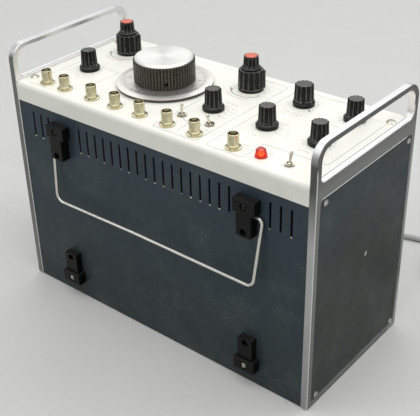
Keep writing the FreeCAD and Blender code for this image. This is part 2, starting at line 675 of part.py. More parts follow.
# ---------------------------------------------------------------- toggles, lamp and sockets
def toggle_lever(x, y, lean):
    """Bat-shaped lever on its ball and cross pin, leaning towards the feet by the given angle."""
    ball = Part.makeSphere(TOGGLE_BALL_R, V(x, y, TOGGLE_PIVOT))
    pin_start = V(x - TOGGLE_PIN_HALF, y, TOGGLE_PIVOT)
    pin = Part.makeCylinder(TOGGLE_PIN_R, 2 * TOGGLE_PIN_HALF, pin_start, V(1, 0, 0))
    bat = turned(x, y, TOGGLE_PIVOT, [(0, 0), (1.1, 0), (1.15, 3.5), (1.65, LEVER_TIP - 1.2),
                                      (1.3, LEVER_TIP - 0.2), (0.7, LEVER_TIP), (0, LEVER_TIP)])
    lever = ball.fuse(bat).fuse(pin)
    lever.rotate(V(x, y, TOGGLE_PIVOT), V(1, 0, 0), lean)
    return lever


def toggle_bodies():
    bodies = []
    for name, x, y, lean in TOGGLES:
        case = block((x - 4, y - 6.5, SUB_PANEL_Z), (x + 4, y + 6.5, PANEL_TOP - PANEL_T))
        bushing = post(x, y, PANEL_TOP - PANEL_T, PANEL_TOP + TOGGLE_BUSHING_UP, TOGGLE_BUSHING_R)
        socket = post(x, y, TOGGLE_PIVOT - TOGGLE_BALL_R - 0.2, PANEL_TOP + 6, TOGGLE_BALL_R + 0.2)
        bodies.append(case.fuse(bushing).cut(socket))
    return bodies


def panel_nuts():
    """Nuts of the toggle switches, on the panel, and of the sockets, under it."""
    under = PANEL_TOP - PANEL_T
    nuts = []
    for name, x, y, lean in TOGGLES:
        bore = post(x, y, PANEL_TOP - 1, PANEL_TOP + 3, TOGGLE_BUSHING_R + 0.05)
        nuts.append(hexagon(x, y, PANEL_TOP, PANEL_TOP + 1.7, 8.4).cut(bore))
    for x in BNC_X:
        bore = post(x, BNC_Y, under - 3, under + 1, BNC_THREAD_R + 0.05)
        nuts.append(hexagon(x, BNC_Y, under - 2.4, under, 12.5).cut(bore))
    return nuts


def lamp_holder():
    x, y = LAMP
    flange_r = LAMP_LENS_R + 0.2
    profile = [(0, -24), (LAMP_R, -24), (LAMP_R, 0), (flange_r, 0), (flange_r, LAMP_FLANGE_T),
               (0, LAMP_FLANGE_T)]
    return turned(x, y, PANEL_TOP, profile).cut(post(x, y, PANEL_TOP - 18, PANEL_TOP + 5, LAMP_R - 0.4))


def lamp_lens():
    """Tapered lens of the pilot lamp, with a neck that plugs into its holder."""
    x, y = LAMP
    neck = LAMP_R - 0.6
    profile = [(0, -8), (neck, -8), (neck, 0), (LAMP_LENS_R, 0), (LAMP_LENS_R, 0.8),
               (LAMP_LENS_R - 1.3, LAMP_LENS_H - 0.7), (LAMP_LENS_R - 2.0, LAMP_LENS_H),
               (0, LAMP_LENS_H)]
    return turned(x, y, PANEL_TOP + LAMP_FLANGE_T, profile)


def bnc_jacks():
    """Coaxial sockets: flange, barrel with two bayonet studs, and a thread under the panel."""
    jacks = []
    for x in BNC_X:
        profile = [(0, -12), (BNC_THREAD_R, -12), (BNC_THREAD_R, 0), (BNC_FLANGE_R, 0), (BNC_FLANGE_R, 1.3),
                   (BNC_R + 0.5, 1.8), (BNC_R + 0.5, 3.2), (BNC_R, 3.7), (BNC_R, BNC_TALL - 0.4),
                   (BNC_R - 0.4, BNC_TALL), (0, BNC_TALL)]
        jack = turned(x, BNC_Y, PANEL_TOP, profile)
        start = V(x, BNC_Y - BNC_R - 0.65, PANEL_TOP + BNC_STUD_UP)
        studs = Part.makeCylinder(1.0, 2 * BNC_R + 1.3, start, V(0, 1, 0))
        jack = jack.fuse(studs)
        jacks.append(jack.cut(post(x, BNC_Y, PANEL_TOP + 3.5, PANEL_TOP + 20, BNC_BORE_R)))
    return jacks


def bnc_insulators():
    """Insulating core of each socket, with the hole of its centre contact."""
    profile = [(0, 0), (BNC_BORE_R, 0), (BNC_BORE_R, 1.5), (2.4, 1.5), (2.4, 7.5), (0, 7.5)]
    cores = []
    for x in BNC_X:
        core = turned(x, BNC_Y, PANEL_TOP + 3.5, profile)
        cores.append(core.cut(post(x, BNC_Y, PANEL_TOP + 7, PANEL_TOP + 20, 0.7)))
    return cores


# ---------------------------------------------------------------- inside
def transformer_core():
    x0, z0, x1, z1 = CORE_WINDOW
    window = block((x0, CORE_LOW[1] - 5, z0), (x1, CORE_HIGH[1] + 5, z1))
    return block(CORE_LOW, CORE_HIGH).cut(window)


def transformer_winding():
    return plate_y(box_corners(*CORE_WINDOW), [3] * 4, *WINDING_Y)


def main_board():
    """Circuit board on edge, behind the top cover."""
    low, high = BOARD_Z
    return block((-BOARD_HALF, BOARD_Y, low), (BOARD_HALF, BOARD_Y + BOARD_T, high))


def board_parts():
    """Smoothing capacitors and a finned heat sink that stand off the board."""
    parts = [Part.makeCylinder(CAPACITOR_R, CAPACITOR_L, V(x, BOARD_Y, CAPACITOR_Z), V(0, -1, 0))
             for x in CAPACITOR_X]
    x, y, z = SINK_LOW
    sink = block(SINK_LOW, (x + SINK_WIDE, BOARD_Y, z + SINK_BASE))
    pitch = (SINK_WIDE - FIN_T) / (FIN_COUNT - 1)
    for k in range(FIN_COUNT):
        left = x + k * pitch
        sink = sink.fuse(block((left, y, z), (left + FIN_T, BOARD_Y, z + FIN_TALL)))
    return parts + [sink]


def fuse_holder():
    x, y = FUSE
    return turned(x, y, REAR_PANEL_Z - 12, [(0, 0), (5.6, 0), (6.6, 1.0), (6.6, 9.0), (8.0, 9.2), (8.0, 12),
                                            (6.1, 12), (6.1, 40), (0, 40)])


# ---------------------------------------------------------------- mains cord
def strain_relief():
    """Right-angle moulded relief: a flange, a bend and a tapered tail."""
    x, y = GLAND
    _, end_y, end_z = RELIEF_END
    flange = post(x, y, REAR_PANEL_Z - 2.5, REAR_PANEL_Z, 8.5)
    neck = post(x, y, REAR_PANEL_Z, REAR_PANEL_Z + 6, GLAND_HOLE_R - FIT)
    run_y = y + RELIEF_RUN
    corners = [(x, y, REAR_PANEL_Z - 2.5), (x, y, end_z), (x, run_y, end_z)]
    path, _ = rounded_path(corners, radii=[RELIEF_BEND])
    tail = Part.makeCone(RELIEF_R, CORD_R + 0.5, end_y - run_y, V(x, run_y, end_z), V(0, 1, 0))
    return flange.fuse(neck).fuse(tube(path, RELIEF_R)).fuse(tail)


def cord_coil():
    """Outer shape of the wound cord, standing on the floor."""
    x, y = COIL_CENTRE
    inner = COIL_TURNS[0] - CORD_R
    outer = COIL_TURNS[-1] + CORD_R
    top = CORD_REST - CORD_R + COIL_LAYERS * 2 * CORD_R
    return post(x, y, CORD_REST - CORD_R, top, outer).cut(post(x, y, -1, top + 1, inner))


def mains_cord():
    path, radii = rounded_path(CORD_ROUTE, share=0.45)
    cord = tube(path, CORD_R)
    print("cord run", round(path.Length), "mm, arc radii", [round(r) for r in radii])
    plain_volume = math.pi * CORD_R ** 2 * path.Length
    print("cord volume over section times length", round(cord.Volume / plain_volume, 4))
    return cord.cut(cord_coil())


def mains_plug():
    """Round two-pin plug lying on its side, its tapered tail against the coil."""
    x, z = PLUG_AXIS
    grip = [(0, 0), (3.8, 0), (5.6, 24), (9.0, 27), (15.0, 36), (17.0, 46), (17.0, 61), (16.0, 62), (0, 62)]
    body = turned(0, 0, 0, grip)
    body = body.common(block((-17, -14, -1), (17, 17, 63)))
    for side in (-PIN_HALF_GAP, PIN_HALF_GAP):
        body = body.fuse(turned(side, 0, 61, [(0, 0), (2.4, 0), (2.4, 17.5), (1.2, 19.5), (0, 19.5)]))
    plug = aim(body, (x, PLUG_TAIL_Y, z), (0, -1, 0))
    return plug.cut(cord_coil())


# ---------------------------------------------------------------- everything
def all_nodes():
    nodes = {
        "left_side_frame": [side_frame(-1)], "right_side_frame": [side_frame(1)],
        "left_side_cover": [side_cover(-1)], "right_side_cover": [side_cover(1)],
        "case_screws": case_screws(), "front_panel": [front_panel()],
        "front_panel_screws": panel_screws(), "cup_washers": cup_washers(),
        "bottom_cover": [bottom_cover()], "top_cover": [top_cover()], "cross_rails": cross_rails(),
        "rear_panel": [rear_panel()], "sub_panel": [sub_panel()],
        "foot_screws": foot_screws(), "tilt_bail": [tilt_bail()],
        "control_bodies": control_bodies(), "dial_disk": [dial_disk()], "dial_knob": [dial_knob()],
        "dial_knob_cap": [dial_cap()], "dial_screws": dial_screws(), "dial_shaft": [dial_shaft()],
        "toggle_switch_bodies": toggle_bodies(), "panel_nuts": panel_nuts(),
        "pilot_lamp_holder": [lamp_holder()], "pilot_lamp_lens": [lamp_lens()],
        "bnc_jacks": bnc_jacks(), "bnc_insulators": bnc_insulators(),
        "transformer_core": [transformer_core()], "transformer_winding": [transformer_winding()],
        "main_board": [main_board()], "board_parts": board_parts(), "fuse_holder": [fuse_holder()],
        "cord_strain_relief": [strain_relief()], "mains_cord": [mains_cord()],
        "cord_coil": [cord_coil()], "mains_plug": [mains_plug()]}
    for name, spot in foot_spots().items():
        nodes[name] = [foot(*spot)]
    for name, x, y, size in KNOBS:
        nodes[f"{name}_knob"] = [single_knob(x, y, size), single_shaft(x, y)]
    for name, x, y in DUALS:
        nodes[f"{name}_coarse_knob"] = [coarse_knob(x, y)]
        nodes[f"{name}_coarse_shaft"] = [coarse_shaft(x, y)]
        nodes[f"{name}_fine_knob"] = [fine_knob(x, y)]
        nodes[f"{name}_fine_shaft"] = [fine_shaft(x, y)]
        nodes[f"{name}_fine_cap"] = [knob_cap(x, y)]
    for name, x, y, lean in TOGGLES:
        nodes[f"{name}_lever"] = [toggle_lever(x, y, lean)]
    return nodes


os.makedirs("parts", exist_ok=True)
for node, solids in all_nodes().items():
    save(node, solids)
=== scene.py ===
import json
import math
import random

import bmesh
import bpy
from mathutils import Matrix, Vector


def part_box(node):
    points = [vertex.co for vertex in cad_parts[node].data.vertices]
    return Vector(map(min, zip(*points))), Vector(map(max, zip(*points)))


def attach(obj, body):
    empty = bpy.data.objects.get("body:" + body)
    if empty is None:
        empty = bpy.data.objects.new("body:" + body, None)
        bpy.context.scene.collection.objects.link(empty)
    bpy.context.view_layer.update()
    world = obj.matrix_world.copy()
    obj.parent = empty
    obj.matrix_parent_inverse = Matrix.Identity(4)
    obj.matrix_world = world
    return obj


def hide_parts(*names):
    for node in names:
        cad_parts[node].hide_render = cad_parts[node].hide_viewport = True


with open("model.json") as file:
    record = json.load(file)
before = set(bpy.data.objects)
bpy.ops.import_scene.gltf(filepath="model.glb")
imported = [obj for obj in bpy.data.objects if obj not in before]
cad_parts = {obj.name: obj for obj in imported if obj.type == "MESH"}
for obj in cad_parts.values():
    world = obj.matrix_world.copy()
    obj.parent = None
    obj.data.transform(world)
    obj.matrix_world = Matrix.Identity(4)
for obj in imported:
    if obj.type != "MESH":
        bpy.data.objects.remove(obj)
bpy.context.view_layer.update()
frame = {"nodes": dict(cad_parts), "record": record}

# A bench function generator with its panel facing up. Metres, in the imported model's frame.
# Layout numbers are millimetres on the panel: x from its middle, y from the case's near edge.
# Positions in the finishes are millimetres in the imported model's frame.

MM = 0.001
NEAR_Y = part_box("left_side_frame")[0].y
CASE_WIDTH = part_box("right_side_frame")[1].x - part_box("left_side_frame")[0].x
CASE_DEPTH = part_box("right_side_frame")[1].y - NEAR_Y
CASE_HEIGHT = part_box("right_side_frame")[1].z
PANEL_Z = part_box("front_panel")[1].z
DISK_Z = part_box("dial_disk")[1].z
MIX_COLOUR_INPUTS = (0, 6, 7)
MIX_COLOUR_OUTPUT = 2
KNOBS = ("trigger", "function", "attenuator", "symmetry", "offset", "output")
DUALS = ("range", "sweep")

# ---- camera: turn about the object, height over it and distance in case widths ----
VIEW_TURN = math.radians(39.81)
VIEW_HEIGHT = math.radians(31.17)
VIEW_ROLL = math.radians(-1.355)
VIEW_DISTANCE = 2.4719
VIEW_ASIDE = 0.0127
VIEW_LIFT = -0.0556
LENS = 76.66

# ---- surroundings ----
WORLD_LOW = 0.40
WORLD_HIGH = 0.68
FLOOR_REACH = 4.0
FLOOR_DROP = 0.0002

# ---- case finishes: the painted highlight along the rim over the side covers, the handles' foot, the seam beside the panel, painted shade on the frames' near faces, wear and dust ----
RECESS_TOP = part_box("right_side_cover")[1].z / MM + 0.2
HANDLE_LOW = 250.0
SEAM_X = 179.3
# painted shade on the near faces: the right frame's at its handle's end, the left frame's all along
RIGHT_NEAR_SHADE = 0.95
LEFT_NEAR_SHADE = 0.76
WORN_SHARE = 0.6
DUST = (0.45, 0.44, 0.42)

# ---- paint chips: the vent slots they sit under, then the single chip on the right cover ----
VENT_PITCH = 11.0
VENT_SHIFT = 4.0
VENT_LOW = 183.0
VENT_REACH = 163.0
VENT_GAP_X = 115.5
VENT_GAP = 16.0
CHIP_DROP = 0.4
CHIP_Y = 13.0
CHIP_Z = 127.6
CHIP_SLANT = 0.35

# ---- knob ridges: radius, start and end under the knob's top, and lean towards the axis ----
SINGLE_RIDGES = (8.4, 15.6, 0.8, 0.045)
SYMMETRY_RIDGES = (9.7, 15.6, 0.8, 0.045)
COARSE_RIDGES = (12.8, 18.3, 1.0, 0.012)
FINE_RIDGES = (7.8, 9.6, 0.6, 0.06)

# ---- printing on the panel ----
LINE_W = 0.5
INK_LIFT = 0.04
ARC_STEP = 6
SECTION_LINES = [
    [(-164, 36), (-164, 76)],
    [(-109, 43), (-109, 78)],
    [(1.5, 80), (1.5, 9), (3.5, 7), (51, 7), (53, 9), (53, 149), (51, 151), (16, 151)],
    [(140, 152), (64.4, 152), (64.4, 9), (66.4, 7), (103, 7), (105, 9), (105, 36.4), (107, 38.4),
     (168, 38.4), (170, 40.4), (170, 138)]]
LINK_LINES = [[(26, 30), (26, 15)], [(14, 36), (26, 30), (37, 36)]]
# middle and length of each caption
CAPTIONS = [(-156, 7, 25), (-139, 48, 9), (-116, 80, 20), (-116, 76.5, 15), (-146, 156, 18),
            (-25, 153, 14), (29, 152, 9), (111, 152.5, 12), (88, 105, 22), (88, 101, 20), (31, 87, 12),
            (43, 78, 7), (98, 81, 7), (88, 47, 5), (139, 48, 10), (120, 27, 5), (94, 27, 5),
            (158, 137, 11), (136, 105, 8), (48, 29, 5), (44, 72, 9), (45, 65, 10), (42, 58, 8),
            (106, 69, 9), (107, 62, 12), (47, 141, 12), (48, 134, 14), (48, 127, 13), (45, 119, 10),
            (-117, 137, 9), (-116, 129, 11), (-118, 121, 9)]
# first angle, last angle and step, in degrees
TICK_FANS = {"trigger": (-30, 210, 40), "function": (-30, 90, 30), "attenuator": (-20, 200, 20),
             "symmetry": (-40, 220, 20), "offset": (-40, 220, 26), "output": (-40, 220, 26)}
TICK_REACH = (13.2, 14.8)
TICK_W = 0.55
SYMMETRY_MARK = (12.2, 16.2, -34)
# round a dual control: arcs by radius, first angle, last angle and width, and the ticks inside them
DUAL_GREY_ARC = (20.0, 205, 330, 0.9)
DUAL_RED_ARCS = [(24.5, 235, 300, 0.5), (18.8, 212, 224, 1.0)]
DUAL_TICK_ANGLES = range(-30, 211, 24)
DUAL_TICK_REACH = (16.0, 18.5)
DUAL_TICK_W = 0.6

# ---- dial scale, radii from its axis ----
SCALE_START = 150
SCALE_SWEEP = 300
SCALE_MARKS = 100
SCALE_OUT = 41.6
# length and width of every tenth, every fifth and every other mark
TENTH_MARK = (4.4, 0.42)
FIFTH_MARK = (3.4, 0.42)
PLAIN_MARK = (2.4, 0.28)
TARNISH_R = 44.0
RING_WIDTH = 0.35
DIGIT_RING = 35.2
DIGIT_SIZE = 4.2
# dark ring of painted shade under the disk's rim: thickness, inner radius and sides
GAP_SHADE_T = 1.3
GAP_SHADE_IN = 34.0
GAP_SHADE_SIDES = 120

# ---- bulb in the pilot lamp ----
BULB_R = 1.9
BULB_UP = 3.2
BULB_STRETCH = 1.35

# ---- mains cord ----
CORD_R = 3.25
CORD_LIES = 3.3
COIL_CENTRE = (208.0, 294.0)
COIL_IN = 35.0
COIL_OUT = COIL_IN + 2 * CORD_R
COIL_LAYERS = 3
COIL_TURN_POINTS = 16
COIL_START = 108.0
COIL_SHIFT_FROM = 0.7
PIN_REACH = 18.5
CORD_ROUTE = [
    (70.0, 156.0, 18.0), (70.0, 182.0, 18.0), (71.0, 217.0, 8.6), (74.0, 251.0, CORD_LIES),
    (81.0, 289.0, CORD_LIES), (101.0, 313.5, CORD_LIES), (145.0, 323.5, CORD_LIES),
    (174.0, 330.5, CORD_LIES), (195.0, 333.0, CORD_LIES)]


# ---------------------------------------------------------------- helpers
def place(x, y, z=0.0):
    """Point from millimetres on the panel, with y counted from the case's near edge."""
    return Vector((x * MM, NEAR_Y + y * MM, z * MM))


def centre(node):
    """Middle of a node's box in the panel's millimetres."""
    low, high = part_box(node)
    middle = (low + high) / 2
    return middle.x / MM, (middle.y - NEAR_Y) / MM


def ring_point(middle, radius, angle):
    """Point on a circle on the panel, by an angle in degrees from the width axis."""
    turn = math.radians(angle)
    return middle[0] + radius * math.cos(turn), middle[1] + radius * math.sin(turn)


def add_object(name, data):
    """Put a mesh, curve, light or camera into the scene."""
    thing = bpy.data.objects.new(name, data)
    bpy.context.scene.collection.objects.link(thing)
    return thing


def add_mesh(name, vertices, faces, material, body):
    """Flat-shaded piece that moves with a body."""
    mesh = bpy.data.meshes.new(name)
    mesh.from_pydata(vertices, [], faces)
    mesh.materials.append(material)
    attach(add_object(name, mesh), body)


class Finish:
    """A material whose colour, roughness and bump come from textures in the object's own space."""

    def __init__(self, name, **sockets):
        self.material = bpy.data.materials.new(name)
        self.material.use_nodes = True
        self.nodes = self.material.node_tree.nodes
        self.links = self.material.node_tree.links
        self.shader = self.nodes["Principled BSDF"]
        for socket, value in sockets.items():
            self.shader.inputs[socket.replace("_", " ")].default_value = value
        self.coordinates = self.nodes.new("ShaderNodeTexCoord")
        self.here = self.coordinates.outputs["Object"]

    def feed(self, target, value):
        """Link a socket to another, or set it to a number or colour."""
        if isinstance(value, bpy.types.NodeSocket):
            self.links.new(value, target)
        else:
            target.default_value = value

    def moved(self, stretch=(1, 1, 1), shift=(0, 0, 0)):
        """The object's coordinates, stretched and shifted."""
        mapping = self.nodes.new("ShaderNodeMapping")
        mapping.inputs["Scale"].default_value = stretch
        mapping.inputs["Location"].default_value = shift
        self.links.new(self.here, mapping.inputs["Vector"])
        return mapping.outputs["Vector"]

    def noise(self, size, detail=4.0, rough=0.6, stretch=(1, 1, 1), shift=(0, 0, 0)):
        """Cloudy value from 0 to 1 with blotches of about size millimetres."""
        texture = self.nodes.new("ShaderNodeTexNoise")
        texture.inputs["Scale"].default_value = 1 / (size * MM)
        texture.inputs["Detail"].default_value = detail
        texture.inputs["Roughness"].default_value = rough
        self.links.new(self.moved(stretch, shift), texture.inputs["Vector"])
        return texture.outputs["Fac"]

    def cells(self, size, shift=(0, 0, 0)):
        """Distance from the nearest of points scattered about size millimetres apart."""
        texture = self.nodes.new("ShaderNodeTexVoronoi")
        texture.inputs["Scale"].default_value = 1 / (size * MM)
        self.links.new(self.moved(shift=shift), texture.inputs["Vector"])
        return texture.outputs["Distance"]

    def axis(self, name):
        """Position along an axis, in metres."""
        parts = self.nodes.new("ShaderNodeSeparateXYZ")
        self.links.new(self.here, parts.inputs[0])
        return parts.outputs[name]

    def facing(self, name):
        """How much the surface's normal points along an axis, from -1 to 1."""
        parts = self.nodes.new("ShaderNodeSeparateXYZ")
        self.links.new(self.coordinates.outputs["Normal"], parts.inputs[0])
        return parts.outputs[name]

    def calc(self, operation, a, b=0.0):
        """Result of one sum on sockets or numbers."""
        node = self.nodes.new("ShaderNodeMath")
        node.operation = operation
        self.feed(node.inputs[0], a)
        self.feed(node.inputs[1], b)
        return node.outputs[0]

    def span(self, value, low, high, out_low=0.0, out_high=1.0):
        """Value carried over from low to high onto out_low to out_high, and held at both ends."""
        node = self.nodes.new("ShaderNodeMapRange")
        self.feed(node.inputs["Value"], value)
        limits = {"From Min": low, "From Max": high, "To Min": out_low, "To Max": out_high}
        for socket, number in limits.items():
            node.inputs[socket].default_value = number
        return node.outputs["Result"]

    def ramp(self, name, low, high, out_low=0.0, out_high=1.0):
        """Span of a position along an axis, given in millimetres."""
        return self.span(self.axis(name), low * MM, high * MM, out_low, out_high)

    def aligned(self, share, way=1):
        """1 where the share of the normal along some axis is nearly whole, or nearly -1 for way -1."""
        return self.span(share, 0.6 * way, 0.95 * way)

    def times(self, value, *factors):
        """Product of masks and numbers."""
        for factor in factors:
            value = self.calc("MULTIPLY", value, factor)
        return value

    def off(self, value, goal):
        """How far a value is from a goal, either way."""
        return self.calc("ABSOLUTE", self.calc("SUBTRACT", value, goal))

    def blend(self, amount, first, second):
        """Colour that goes from the first to the second as amount goes from 0 to 1."""
        node = self.nodes.new("ShaderNodeMix")
        node.data_type = "RGBA"
        factor, start, end = (node.inputs[index] for index in MIX_COLOUR_INPUTS)
        self.feed(factor, amount)
        for socket, colour in ((start, first), (end, second)):
            self.feed(socket, colour if isinstance(colour, bpy.types.NodeSocket) else (*colour, 1.0))
        return node.outputs[MIX_COLOUR_OUTPUT]

    def coats(self, base, *layers):
        """Lay layers, each a mask and a colour, over a base colour one after the other."""
        for amount, colour in layers:
            base = self.blend(amount, base, colour)
        return base

    def radius_from(self, x, y):
        """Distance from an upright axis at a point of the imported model's frame."""
        across = self.calc("SUBTRACT", self.axis("X"), x)
        along = self.calc("SUBTRACT", self.axis("Y"), y)
        squares = self.calc("ADD", self.times(across, across), self.times(along, along))
        return self.calc("SQRT", squares)

    def bump(self, height, strength, depth):
        """Relief of about depth millimetres."""
        node = self.nodes.new("ShaderNodeBump")
        node.inputs["Strength"].default_value = strength
        node.inputs["Distance"].default_value = depth * MM
        self.links.new(height, node.inputs["Height"])
        self.links.new(node.outputs["Normal"], self.shader.inputs["Normal"])

    def done(self, colour, cloud=None, smooth=0.0, rough=1.0):
        """Set the colour, and let the roughness follow a cloud from smooth to rough."""
        self.feed(self.shader.inputs["Base Color"], colour)
        if cloud:
            self.feed(self.shader.inputs["Roughness"], self.span(cloud, 0.3, 0.7, smooth, rough))
        return self.material


# ---------------------------------------------------------------- camera, light and floor
def add_camera():
    """Camera that looks past the case's middle, turned, raised and rolled as named above."""
    forward = Vector((-math.sin(VIEW_TURN) * math.cos(VIEW_HEIGHT),
                      math.cos(VIEW_TURN) * math.cos(VIEW_HEIGHT), -math.sin(VIEW_HEIGHT)))
    level = Vector((math.cos(VIEW_TURN), math.sin(VIEW_TURN), 0))
    rise = level.cross(forward)
    right = math.cos(VIEW_ROLL) * level + math.sin(VIEW_ROLL) * rise
    up = math.cos(VIEW_ROLL) * rise - math.sin(VIEW_ROLL) * level
    middle = Vector((0, NEAR_Y + CASE_DEPTH / 2, CASE_HEIGHT / 2))
    spot = middle + CASE_WIDTH * (VIEW_ASIDE * right + VIEW_LIFT * up - VIEW_DISTANCE * forward)
    data = bpy.data.cameras.new("camera")
    data.lens = LENS
    data.clip_start = 0.01
    camera = add_object("camera", data)
    turn = Matrix((right, up, -forward)).transposed().to_4x4()
    camera.matrix_world = Matrix.Translation(spot) @ turn
    bpy.context.scene.camera = camera


def add_light(name, spot, target, size, power):
    """Rectangular softbox of a size in metres at a spot, aimed at a target."""
    data = bpy.data.lights.new(name, "AREA")
    data.shape = "RECTANGLE"
    data.size, data.size_y = size
    data.energy = power
    light = add_object(name, data)
    light.location = spot
    light.rotation_euler = (Vector(target) - Vector(spot)).to_track_quat("-Z", "Y").to_euler()


def add_studio_world():
    """Soft grey surroundings, brighter overhead than at the horizon."""
    world = bpy.data.worlds.new("studio")
    world.use_nodes = True
    nodes = world.node_tree.nodes
    links = world.node_tree.links
    direction = nodes.new("ShaderNodeTexCoord")
    parts = nodes.new("ShaderNodeSeparateXYZ")
    level = nodes.new("ShaderNodeMapRange")
    level.inputs["From Min"].default_value = 0.0
    level.inputs["From Max"].default_value = 0.9
    level.inputs["To Min"].default_value = WORLD_LOW
    level.inputs["To Max"].default_value = WORLD_HIGH
    links.new(direction.outputs["Generated"], parts.inputs[0])
    links.new(parts.outputs["Z"], level.inputs["Value"])
    links.new(level.outputs["Result"], nodes["Background"].inputs["Strength"])
    nodes["Background"].inputs["Color"].default_value = (0.97, 0.985, 1.0, 1.0)
    bpy.context.scene.world = world


def add_lights():
    """Soft lights behind, above and at both sides, and a small one over the floor at the right."""
    add_light("softbox_behind", (-0.9, 1.3, 1.7), (0.0, 0.0, 0.15), (2.2, 1.4), 11)
    add_light("softbox_above", (0.4, -0.8, 2.5), (0.05, -0.05, 0.2), (3.0, 2.6), 34)
    add_light("strip_left", (-1.3, -1.5, 1.0), (0.0, 0.0, 0.2), (0.14, 1.7), 5)
    add_light("strip_right", (1.9, -0.6, 0.9), (0.0, 0.0, 0.2), (0.14, 1.7), 4)
    add_light("softbox_right", (1.1, 0.9, 1.5), (0.7, 0.2, 0.0), (0.9, 0.9), 5.5)


def floor_finish():
    """Pale grey paper with a faint cloud and a few dark specks."""
    finish = Finish("floor_paper", Roughness=0.85)
    paper = finish.blend(finish.noise(160, 3), (0.558, 0.559, 0.538), (0.608, 0.609, 0.584))
    specks = finish.times(finish.span(finish.cells(38), 0.035, 0.02),
                          finish.span(finish.noise(90, 2), 0.5, 0.6), 0.8)
    finish.bump(finish.noise(1.2, 2), 0.05, 0.2)
    return finish.done(finish.coats(paper, (specks, (0.30, 0.29, 0.28))))


def add_floor():
    """Plain floor, just under the object's own level."""
    mesh = bpy.data.meshes.new("floor")
    corners = [(x * FLOOR_REACH, y * FLOOR_REACH, 0) for x, y in ((-1, -1), (1, -1), (1, 1), (-1, 1))]
    mesh.from_pydata(corners, [], [(0, 1, 2, 3)])
    mesh.materials.append(floor_finish())
    floor = add_object("floor", mesh)
    floor.location.z = -FLOOR_DROP


# ---------------------------------------------------------------- finishes
def brushed_metal(name, dark, light, rough, streak=(1, 1, 1), size=60, wear=0.35):
    """Metal with cloudy tarnish, fine drawn lines along one axis and a little wear."""
    finish = Finish(name, Metallic=1.0)
    cloud = finish.noise(size, 5)
    marks = finish.span(finish.noise(3.0, 6, 0.75), 0.62, 0.72)
    worn = [channel * WORN_SHARE for channel in dark]
    base = finish.coats(finish.blend(cloud, dark, light), (finish.times(marks, wear), worn))
    finish.bump(finish.noise(0.35, 2, 0.5, stretch=streak), 0.12, 0.05)
    return finish.done(base, cloud, rough - 0.06, rough + 0.08)


def frame_sides(finish, out):
    """Coats of the frames' upright sides, all painted light and shade: shade on the outer sides, a highlight
    along the rim over the side covers and a reflection of the panel on the inner sides; out says how far a
    surface faces away from the case's middle.
    """
    outward = finish.aligned(out)
    far = finish.ramp("Y", 68, 73)
    # painted shade on the outer sides, darker towards the top where the handles are
    painted_shade = finish.blend(finish.ramp("Z", 230, 260), (0.20, 0.205, 0.20), (0.085, 0.087, 0.085))
    # lighter painted shade on the outer sides at the far end, low down
    far_rim = finish.times(outward, far, finish.ramp("Z", 220, 180))
    # painted highlight: a bright line along the rim just over the side covers
    recess_highlight = finish.times(outward, finish.ramp("Z", RECESS_TOP - 0.1, RECESS_TOP),
                              finish.ramp("Z", RECESS_TOP + 1.0, RECESS_TOP + 0.5),
                              finish.ramp("Y", -70, -68), finish.span(far, 1.0, 0.0))
    return [(outward, painted_shade), (far_rim, (0.30, 0.31, 0.31)), (recess_highlight, (0.95, 0.95, 0.94)),
            # the inner sides get a painted reflection of the pale panel
            (finish.aligned(out, -1), (0.82, 0.82, 0.81))]


def frame_near_faces(finish, side):
    """Coats of what faces the near side, all painted light and shade: light on the far posts, shade on the
    near ones, and a reflection of the floor low on the near ones.
    """
    near = finish.aligned(finish.facing("Y"), -1)
    # painted light on the near faces of the far posts
    far_posts = finish.times(near, finish.ramp("Y", 0, 20))
    near_posts = finish.times(near, finish.ramp("Y", 0, -20))
    left = finish.span(side, 0.0, -1.0)
    # painted shade on the near posts, strongest at the handles' ends
    handle_end = finish.times(finish.ramp("Z", 180, 235), finish.ramp("Z", 265, 256))
    right_painted_shade = finish.times(finish.calc("SUBTRACT", RIGHT_NEAR_SHADE, left), handle_end)
    painted_shade = finish.calc("MAXIMUM", right_painted_shade, finish.times(left, LEFT_NEAR_SHADE))
    return [(far_posts, (0.95, 0.95, 0.94)), (finish.times(near_posts, painted_shade), (0.09, 0.09, 0.088)),
            # painted reflection of the floor, lighter low on the near posts
            (finish.times(near_posts, finish.ramp("Z", 100, 20, 0.0, 0.4)), (0.26, 0.262, 0.256))]


def frame_tops(finish):
    """Coats of what faces up or down: painted light on the tops, a little less on the handles, painted shade
    underneath, and the dark seam beside the panel.
    """
    upward = finish.span(finish.facing("Z"), 0.5, 0.9)
    # painted light on what faces up, a little less on the handles' tops
    top_light = finish.blend(finish.ramp("Z", HANDLE_LOW, HANDLE_LOW + 10),
                          (0.86, 0.86, 0.85), (0.78, 0.78, 0.775))
    beside = finish.off(finish.calc("ABSOLUTE", finish.axis("X")), SEAM_X * MM)
    seam = finish.times(upward, finish.span(beside, 0.55 * MM, 0.25 * MM),
                        finish.ramp("Z", HANDLE_LOW, HANDLE_LOW - 5))
    return [(upward, top_light), (seam, (0.16, 0.16, 0.15)),
            # painted shade on what faces down
            (finish.span(finish.facing("Z"), -0.5, -0.9), (0.20, 0.20, 0.20))]


def frame_chamfers(finish, out):
    """Coats of the slanting edges: a painted highlight on them, and painted shade along the outside of the
    handles.
    """
    flat = finish.calc("ABSOLUTE", finish.facing("X"))
    for name in ("Y", "Z"):
        flat = finish.calc("MAXIMUM", flat, finish.calc("ABSOLUTE", finish.facing(name)))
    # painted shade on the handles' outer slanting edges
    handle_outside_shade = finish.times(finish.ramp("Z", HANDLE_LOW, HANDLE_LOW + 5), finish.span(out, 0.25, 0.45))
    # painted highlight on the slanting edges, then painted shade along the handles' outside
    return [(finish.span(flat, 0.97, 0.80, 0.0, 0.7), (0.80, 0.80, 0.79)), (handle_outside_shade, (0.12, 0.121, 0.118))]


